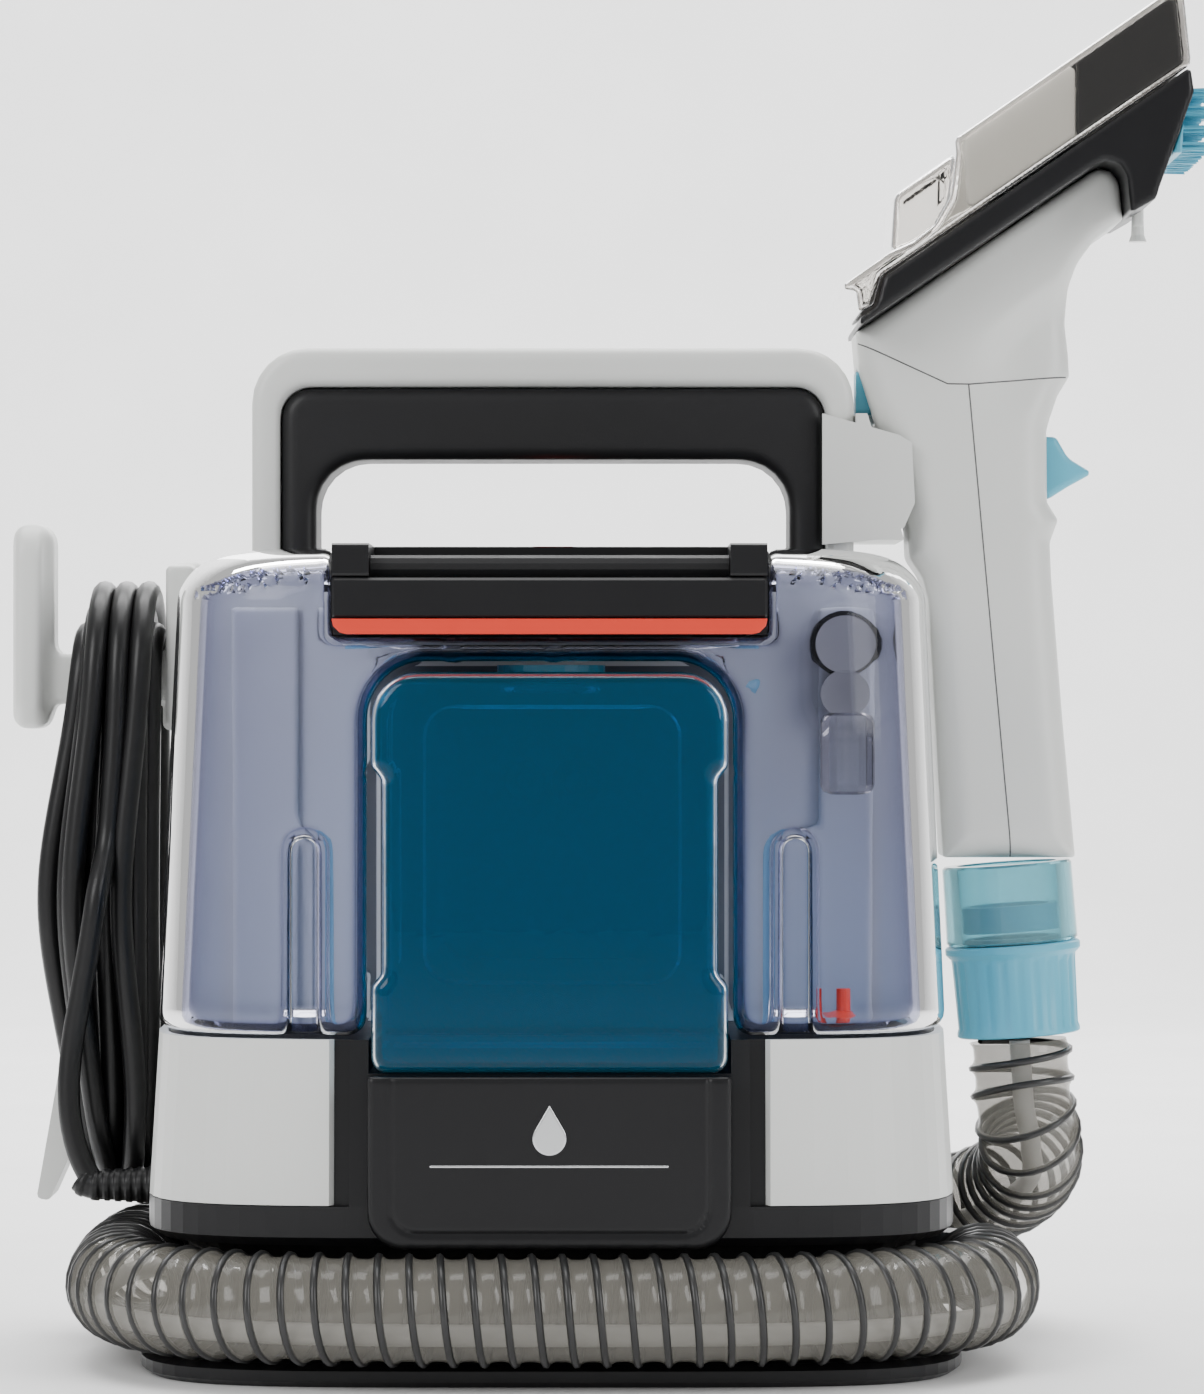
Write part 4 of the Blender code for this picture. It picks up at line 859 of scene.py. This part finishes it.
def make_hooks():
    solid("upper_hook", hook_field, (-0.178, 0.023, 0.2005), (-0.118, 0.057, 0.267), 0.0011, WHITE, "machine",
          "white_plastic", ("upper_cord_hook",))


def make_badge():
    outline = fillet([(-0.0555, 0.0954), (0.0555, 0.0954), (0.0555, 0.0426), (-0.0555, 0.0426)],
                     [0.001, 0.001, 0.011, 0.011])

    def lines(depth, x, y, z):
        groove = np.hypot(np.abs(rectangle(x, z, -0.0485, 0.0485, 0.0475, 0.120, 0.008)), y + 0.1020) - 0.0005
        return smooth_max(depth, -groove, 0.0004)
    pressed("badge_plate", outline, (-0.102, -0.0957), 0.0018, 0.0009, BLACK, "machine", "black_plastic",
            ("badge_panel",), lines)
    bar = fillet([(-0.0365, 0.0676), (0.0363, 0.0676), (0.0363, 0.0684), (-0.0365, 0.0684)], 0.0003, 2)
    pressed("badge_line", bar, (-0.1023, -0.1016), 0.0002, 0.00025, SILVER, "machine", "steel")
    drop = [(0.0, 0.0868)] + [(0.0052 * math.cos(t), 0.0765 + 0.0052 * math.sin(t))
                              for t in np.linspace(math.radians(28), math.radians(-208), 22)]
    pressed("badge_drop", drop, (-0.1025, -0.1016), 0.0003, 0.0003, SILVER, "machine", "steel")


def make_painted_light_columns():
    """Upright columns on the tower's front, seen through the recovery tank. The white pair is a painted
    highlight where light falls on the tower's face. The cyan pair is painted refraction of the blue tank's
    sides.
    """
    for name, low, high, top, material, slot in (
            # painted highlight: white strips where light falls on the tower's face behind the tank
            ("painted_highlight_left", -0.1030, -0.0820, 0.2400, WHITE, "white_plastic"),
            ("painted_highlight_right", 0.0860, 0.1030, 0.2400, WHITE, "white_plastic"),
            # painted refraction: cyan strips in place of the blue tank's sides seen through the tank's inner
            # walls
            ("painted_refraction_left", -0.0672, -0.0592, 0.2170, PAINTED_REFRACTION_CYAN, "turquoise_plastic"),
            ("painted_refraction_right", 0.0592, 0.0672, 0.2170, PAINTED_REFRACTION_CYAN, "turquoise_plastic")):
        outline = [(low, 0.1100), (high, 0.1100), (high, top), (low, top)]
        pressed(name, outline, (-0.0113, -0.0083), 0.0014, 0.0012, material, "machine", slot)


LOUVRES, LOUVRE_LOW, LOUVRE_PITCH = 9, 0.1250, 0.0052
LOUVRE_HALF, LOUVRE_HEIGHT = 0.0340, 0.0026
LOUVRE_BACK, LOUVRE_LEAN = 0.0925, 0.0125
LEAN_FROM, LEAN_OVER = 0.1063, 0.1437


def make_rear_grille():
    """Louvres for the tower's back. They lie just under the shell's surface, so they do not show."""
    for k in range(LOUVRES):
        z = LOUVRE_LOW + LOUVRE_PITCH * k
        back = BODY_Y + LOUVRE_BACK - LOUVRE_LEAN * (z - LEAN_FROM) / LEAN_OVER
        top = z + LOUVRE_HEIGHT
        outline = [(-LOUVRE_HALF, z), (LOUVRE_HALF, z), (LOUVRE_HALF, top), (-LOUVRE_HALF, top)]
        pressed(f"rear_louvre_{k}", outline, (back - 0.0030, back + 0.0007), 0.0006, 0.0006, BLACK_SATIN,
                "machine", "black_plastic")


PLUG_TOP = (-0.1455, 0.0850, 0.1160)
BLADE_HALF, BLADE_LOW, BLADE_HIGH = 0.0008, 0.0640, 0.0815


def make_plug():
    along = Vector((0, 0, -1))
    profile = [(0.0, 0.0), (0.0050, 0.0), (0.0056, 0.0010), (0.0052, 0.0030), (0.0060, 0.0045),
               (0.0054, 0.0065), (0.0064, 0.0085), (0.0084, 0.0125), (0.0112, 0.0165), (0.0115, 0.0190),
               (0.0108, 0.0230), (0.0108, 0.0270), (0.0115, 0.0310), (0.0115, 0.0350), (0.0108, 0.0360),
               (0.0, 0.0360)]
    body = lathe("plug_body", profile, PLUG_TOP, along, 40, RUBBER, "machine",
                 ("mains_plug",))
    blades = []
    for side, x in (("left", -0.1518), ("right", -0.1392)):
        left, right = x - BLADE_HALF, x + BLADE_HALF
        outline = [(left, BLADE_LOW), (right, BLADE_LOW), (right, BLADE_HIGH), (left, BLADE_HIGH)]
        blades.append(pressed("plug_blade_" + side, outline, (0.0818, 0.0882), 0.0005, 0.0005, STEEL,
                              "machine", "steel"))
    return [body, *blades]


RELIEF_START = (-0.1279, -0.0060, 0.0530)
RELIEF_LENGTH = 0.026


def make_relief():
    """A ribbed sleeve that tapers along the lead's first bend."""
    route = smooth_path([RELIEF_START, (-0.1360, -0.0060, 0.0530)] + CORD_LEAD, 12)
    line, length = even_path(route, 0.0004)
    line = line[:int(RELIEF_LENGTH / length * len(line))]

    def taper(share, angle):
        ring = 0.00045 * (np.cos(share * math.tau * 7) > 0)
        return 0.0066 - 0.0019 * share ** 0.7 - ring * (share > 0.12)
    piece = mesh_piece("cord_relief", *tube_mesh(line, taper, 28))
    return finish_piece(piece, RUBBER, "machine", ("strain_relief",))


# ---- hand tool ----
GRIP_SIDE = [
    (0.0998, 0.3183, 0.006), (0.1159, 0.2664, 0.010), (0.1163, 0.2565, 0.006), (0.1208, 0.2500, 0.010),
    (0.1228, 0.2418, 0.020), (0.1249, 0.2034, 0.050), (0.1275, 0.1585, 0.001), (0.1708, 0.1585, 0.001),
    (0.1667, 0.2034, 0.050), (0.1630, 0.2500, 0.030), (0.1625, 0.2615, 0.004), (0.1652, 0.2689, 0.0018),
    (0.1616, 0.2747, 0.0018), (0.1614, 0.2980, 0.002), (0.1625, 0.3020, 0.003), (0.1650, 0.3093, 0.004),
    (0.1686, 0.3153, 0.0008),
]
HEAD_SIDE = [
    (0.1690, 0.3160, 0.0008), (0.1688, 0.3225, 0.010), (0.1675, 0.3330, 0.020), (0.1683, 0.3450, 0.020),
    (0.1710, 0.3526, 0.014), (0.1764, 0.3598, 0.010), (0.1857, 0.3666, 0.001), (0.1845, 0.3785, 0.004),
    (0.1822, 0.3822, 0.003), (0.1780, 0.3833, 0.003), (0.1748, 0.3818, 0.003), (0.1000, 0.3306, 0.0005),
    (0.0988, 0.3300, 0.0005),
]
TOOL_SIDES = GRIP_SIDE + HEAD_SIDE
TOOL_HALF = 0.021
TOOL_LOW, TOOL_HIGH = TOOL_Y - TOOL_HALF, TOOL_Y + TOOL_HALF
TOOL_OUTLINE = fillet([(x, z) for x, z, r in TOOL_SIDES], [r for x, z, r in TOOL_SIDES], 5)


def step_up(value):
    """0 below 0, 1 above 1, smooth between."""
    t = np.clip(value, 0, 1)
    return t * t * (3 - 2 * t)


SEAM_ACROSS = [(0.0996, 0.3262), (0.1285, 0.3129), (0.1355, 0.3128), (0.1690, 0.3156)]
SEAM_DOWN = [(0.1353, 0.3126), (0.1493, 0.1590)]
SEAM_RADIUS, SEAM_SINK = 0.00026, 0.00005


def tool_field(x, y, z):
    """The grip and head as one form, hollowed below the nozzle, with a slot for the trigger and a window
    that is deep enough for the release button's stroke."""
    flat = polygon(x, z, TOOL_OUTLINE)
    edge = np.clip(0.0100 - (z - 0.300) * 0.10, 0.0040, 0.0100)
    below = ((x - 0.130) * 0.579 - (z - 0.325) * 0.815) / 0.012
    hollow = 0.0050 * step_up(below) * step_up((x - 0.132) / 0.022) * step_up((z - 0.296) / 0.030)
    across = np.abs(y - TOOL_Y)
    depth = thick(flat, across + hollow, -TOOL_HALF, TOOL_HALF, edge)
    slot = thick(rectangle(across, z, -0.0085, 0.0085, 0.2745, 0.2985, 0.003), x, 0.1500, 0.1800, 0.0005)
    window = thick(rectangle(across, z, -0.0075, 0.0075, 0.3010, 0.3185, 0.002), x, 0.0900, 0.1120, 0.0005)
    return np.maximum(np.maximum(depth, -slot), -window)


def surface_line(name, outline, side):
    """A fine dark parting line that follows the tool's surface on one side."""
    flat, _ = even_path([(x, 0.0, z) for x, z in outline], 0.0015)
    near, far = np.zeros(len(flat)), np.full(len(flat), 0.0225)
    for _ in range(24):
        middle = (near + far) / 2
        inside = tool_field(flat[:, 0], TOOL_Y + side * middle, flat[:, 2]) < 0
        near, far = np.where(inside, middle, near), np.where(inside, far, middle)
    keep = near > 0.004
    line = np.stack([flat[:, 0], TOOL_Y + side * (near - SEAM_SINK), flat[:, 2]], axis=1)[keep]
    piece = mesh_piece(name, *tube_mesh(line, SEAM_RADIUS, 6))
    return finish_piece(piece, SEAM_GREY, "hand_tool")


def make_tool():
    solid("tool_body", tool_field, (0.0985, TOOL_LOW, 0.1585), (0.1860, TOOL_HIGH, 0.3835), 0.00115,
          WHITE, "hand_tool", "white_plastic", ("tool_grip_shell", "tool_head_shell"))
    for side, label in ((-1, "front"), (1, "back")):
        surface_line("tool_seam_across_" + label, SEAM_ACROSS, side)
        surface_line("tool_seam_down_" + label, SEAM_DOWN, side)
    trigger = fillet([(0.1572, 0.2965), (0.1572, 0.2770), (0.1630, 0.2762), (0.1690, 0.2800),
                      (0.1772, 0.2845), (0.1690, 0.2895), (0.1650, 0.2965)],
                     [0.001, 0.001, 0.001, 0.010, 0.0012, 0.008, 0.002])
    pressed("trigger_lever", trigger, (TOOL_Y - 0.0078, TOOL_Y + 0.0078), 0.0022, 0.0006, TURQUOISE,
            "trigger", "turquoise_plastic", ("trigger",))


def make_collar():
    top = Vector(tool_axis(-0.0264))
    low = Vector(tool_axis(0.0))
    profile = [(0.0163, 0.0), (0.0205, 0.0), (0.0213, 0.0008), (0.0214, 0.0120), (0.0216, 0.0253),
               (0.0210, 0.0260), (0.0163, 0.0260)]
    lathe("collar_shell", profile, top, low - top, 96, TEAL, "hand_tool",
          ("tool_collar",))
    ring = [(0.0130, 0.0), (0.0158, 0.0), (0.0158, 0.0085), (0.0130, 0.0085)]
    lathe("collar_inner_ring", ring, top + (low - top) * 0.52, low - top, 64, TURQUOISE, "hand_tool")

    def flutes(turn, radius, distance):
        deep = 0.0006 * max(0.0, math.cos(turn * 24)) ** 2
        return -deep if radius > 0.019 and 0.005 < distance < 0.028 else 0.0
    cuff_top = tool_axis(0.0001)
    profile = [(0.0178, 0.0), (0.0216, 0.0), (0.0222, 0.0006), (0.0222, 0.0024), (0.0214, 0.0034),
               (0.0205, 0.0042), (0.0203, 0.0060), (0.0197, 0.0270), (0.0202, 0.0285), (0.0202, 0.0296),
               (0.0196, 0.0300), (0.0180, 0.0300)]
    lathe("cuff_grip", profile, cuff_top, low - top, 120, TURQUOISE, "hose_cuff",
          ("hose_cuff",), flutes)


FRAME_OUTLINE = fillet([
    (0.0992, 0.3330), (0.0988, 0.3303), (0.1745, 0.3821), (0.1779, 0.3837), (0.1825, 0.3826),
    (0.1849, 0.3787), (0.1861, 0.3667), (0.1942, 0.3713), (0.1952, 0.3749), (0.2064, 0.4057),
    (0.2052, 0.4137), (0.1065, 0.3461), (0.1040, 0.3366),
], [0.001, 0.0005, 0.003, 0.003, 0.003, 0.004, 0.0005, 0.002, 0.004, 0.002, 0.001, 0.001, 0.002], 4)
COVER_OUTLINE = fillet([
    (0.0985, 0.3345), (0.1034, 0.3369), (0.1060, 0.3463), (0.2050, 0.4141), (0.2052, 0.4165),
    (0.2032, 0.4359), (0.2004, 0.4397), (0.1294, 0.3905), (0.1298, 0.3858), (0.1282, 0.3721),
    (0.1233, 0.3632), (0.1161, 0.3576), (0.1090, 0.3544), (0.0920, 0.3424), (0.0976, 0.3415),
], [0.001, 0.001, 0.001, 0.0005, 0.001, 0.003, 0.002, 0.002, 0.002, 0.006, 0.005, 0.004, 0.002, 0.001,
    0.001], 4)
SCOOP_OUTLINE = fillet([(0.1095, 0.3540), (0.1220, 0.3590), (0.1300, 0.3700), (0.1303, 0.3865),
                        (0.1285, 0.3862), (0.1108, 0.3738)], [0.002, 0.004, 0.004, 0.002, 0.002, 0.004], 4)
NOZZLE_HALF = 0.041
NOZZLE_LOW, NOZZLE_HIGH = TOOL_Y - NOZZLE_HALF, TOOL_Y + NOZZLE_HALF
LINING_IN, LINING_OUT = 0.0362, 0.0384


def cover_field(x, y, z):
    outer = thick(polygon(x, z, COVER_OUTLINE), y, NOZZLE_LOW, NOZZLE_HIGH, 0.0012)
    depth = shell(outer, 0.0018)
    scoop = shell(thick(polygon(x, z, SCOOP_OUTLINE), y, TOOL_Y - 0.026, TOOL_Y + 0.026, 0.002), 0.0016)
    return np.minimum(depth, scoop)


BRUSH_HALF, TUFT_PITCH, TUFT_COUNT = 0.0345, 0.0016, 5
BRUSH_ROWS, ROW_LOW, ROW_PITCH = 4, 0.3885, 0.0058
BRISTLE_ROOT_X, BRISTLE_REACH, BRISTLE_RADIUS = 0.2030, 0.0095, 0.00028


def bristles(name, x, rows, reach, thickness):
    """Rows of short filaments, four rounded sides each, splayed a little by a seeded draw."""
    draw = np.random.default_rng(7)
    verts, faces = [], []
    for row_z in rows:
        for y in np.arange(TOOL_Y - BRUSH_HALF, TOOL_Y + BRUSH_HALF + 0.0001, TUFT_PITCH):
            for _ in range(TUFT_COUNT):
                root = np.array([x, y + draw.uniform(-0.0006, 0.0006),
                                 row_z + draw.uniform(-0.0013, 0.0013)])
                lean = np.array([0.0, draw.uniform(-0.05, 0.05), draw.uniform(-0.05, 0.05)])
                tip = root + (np.array([1.0, 0, 0]) + lean) * reach * draw.uniform(0.94, 1.0)
                base = len(verts)
                for end, scale in ((root, 1.0), (tip, 0.8)):
                    for corner in range(4):
                        turn = math.tau * corner / 4 + 0.4
                        verts.append(end + scale * thickness * np.array([0, math.cos(turn), math.sin(turn)]))
                for c in range(4):
                    n = (c + 1) % 4
                    faces.append((base + c, base + n, base + 4 + n, base + 4 + c))
                faces.append((base + 4, base + 5, base + 6, base + 7))
    return mesh_piece(name, verts, faces, smooth=False)


def lining(name, outline, material, slot):
    """Two thin plates inside the cover, one along each side."""
    def field(x, y, z):
        across = np.abs(y - TOOL_Y)
        return thick(polygon(x, z, outline), across, LINING_IN, LINING_OUT, 0.0006)
    box = outline_box(outline, TOOL_Y - LINING_OUT, TOOL_Y + LINING_OUT)
    return solid(name, field, *box, 0.0009, material, "nozzle", slot)


def make_inserts():
    white = fillet([(0.1335, 0.3680), (0.1684, 0.3918), (0.1684, 0.4152), (0.1325, 0.3903)], 0.0015, 3)
    lining("duct_lining", white, WHITE, "white_plastic")
    black = fillet([(0.1688, 0.3921), (0.2028, 0.4153), (0.2008, 0.4350), (0.1985, 0.4360), (0.1688, 0.4155)],
                   [0.0004, 0.001, 0.004, 0.004, 0.0004], 4)
    lining("mouth_lining", black, BLACK, "black_plastic")

    def mount(x, y, z):
        post = block(x, y, z, (0.1932, TOOL_Y - 0.0045, 0.3738), (0.1966, TOOL_Y + 0.0045, 0.3850), 0.0012)
        stem = block(x, y, z, (0.1908, TOOL_Y - 0.0022, 0.3655), (0.1944, TOOL_Y + 0.0022, 0.3760), 0.0010)
        return smooth_min(post, stem, 0.001)
    solid("spray_mount", mount, (0.1905, TOOL_Y - 0.0046, 0.3650), (0.1967, TOOL_Y + 0.0046, 0.3852), 0.0006,
          WHITE, "nozzle", "white_plastic")


def make_nozzle():
    def window(depth, x, y, z):
        hole = polygon(x, z, [(0.1290, 0.3490), (0.1600, 0.3700), (0.1500, 0.4000), (0.1200, 0.3700)])
        return np.maximum(depth, -thick(hole, y, TOOL_Y - 0.014, TOOL_Y + 0.014, 0.001))
    pressed("nozzle_band", FRAME_OUTLINE, (NOZZLE_LOW, NOZZLE_HIGH), 0.0014, 0.0013, BLACK, "nozzle",
            "black_plastic", ("nozzle_frame",), window)
    solid("nozzle_window", cover_field, (0.092, NOZZLE_LOW, 0.3345), (0.2055, NOZZLE_HIGH, 0.440), 0.0010,
          SMOKE, "nozzle", "clear_smoke_plastic", ("nozzle_cover",))
    make_inserts()
    block_outline = fillet([(0.1999, 0.3864), (0.2066, 0.4057), (0.2066, 0.4083), (0.2040, 0.4083),
                            (0.2030, 0.3864)], 0.0005, 2)
    pressed("brush_block", block_outline, (TOOL_Y - 0.036, TOOL_Y + 0.036), 0.0004, 0.0007, TURQUOISE,
            "nozzle", "turquoise_plastic", ("scrub_brush",))
    rows = [ROW_LOW + ROW_PITCH * k for k in range(BRUSH_ROWS)]
    tufts = bristles("brush_tufts", BRISTLE_ROOT_X, rows, BRISTLE_REACH, BRISTLE_RADIUS)
    finish_piece(tufts, TURQUOISE, "nozzle")


# ---- pieces kept from the CAD model ----
EDGE_WIDTH, EDGE_ANGLE = 0.0006, math.radians(40)
SPECIAL = {"tank_grip_bar": BLACK_SATIN, "shutoff_float": SMOKE, "tower_air_duct": DARK}


def dress_nodes():
    """Gives every CAD piece its material by slot, and rounds the edges of those that are still shown."""
    for name, piece in NODES.items():
        slot = piece.material_slots[0].material.name.split(".")[0]
        piece.material_slots[0].material = SPECIAL.get(name) or SLOTS.get(slot, WHITE)
        if piece.hide_render:
            continue
        edge = piece.modifiers.new("edge", "BEVEL")
        edge.width = EDGE_WIDTH
        edge.segments = 2
        edge.angle_limit = EDGE_ANGLE
        edge.harden_normals = True


make_camera()
make_lights()
make_floor()
make_hose()
make_cord()
make_relief()
make_clear_tank()
make_blue_tank()
make_painted_light_columns()
make_rear_grille()
make_handle()
make_hooks()
make_badge()
make_tool()
make_collar()
make_nozzle()
dress_nodes()
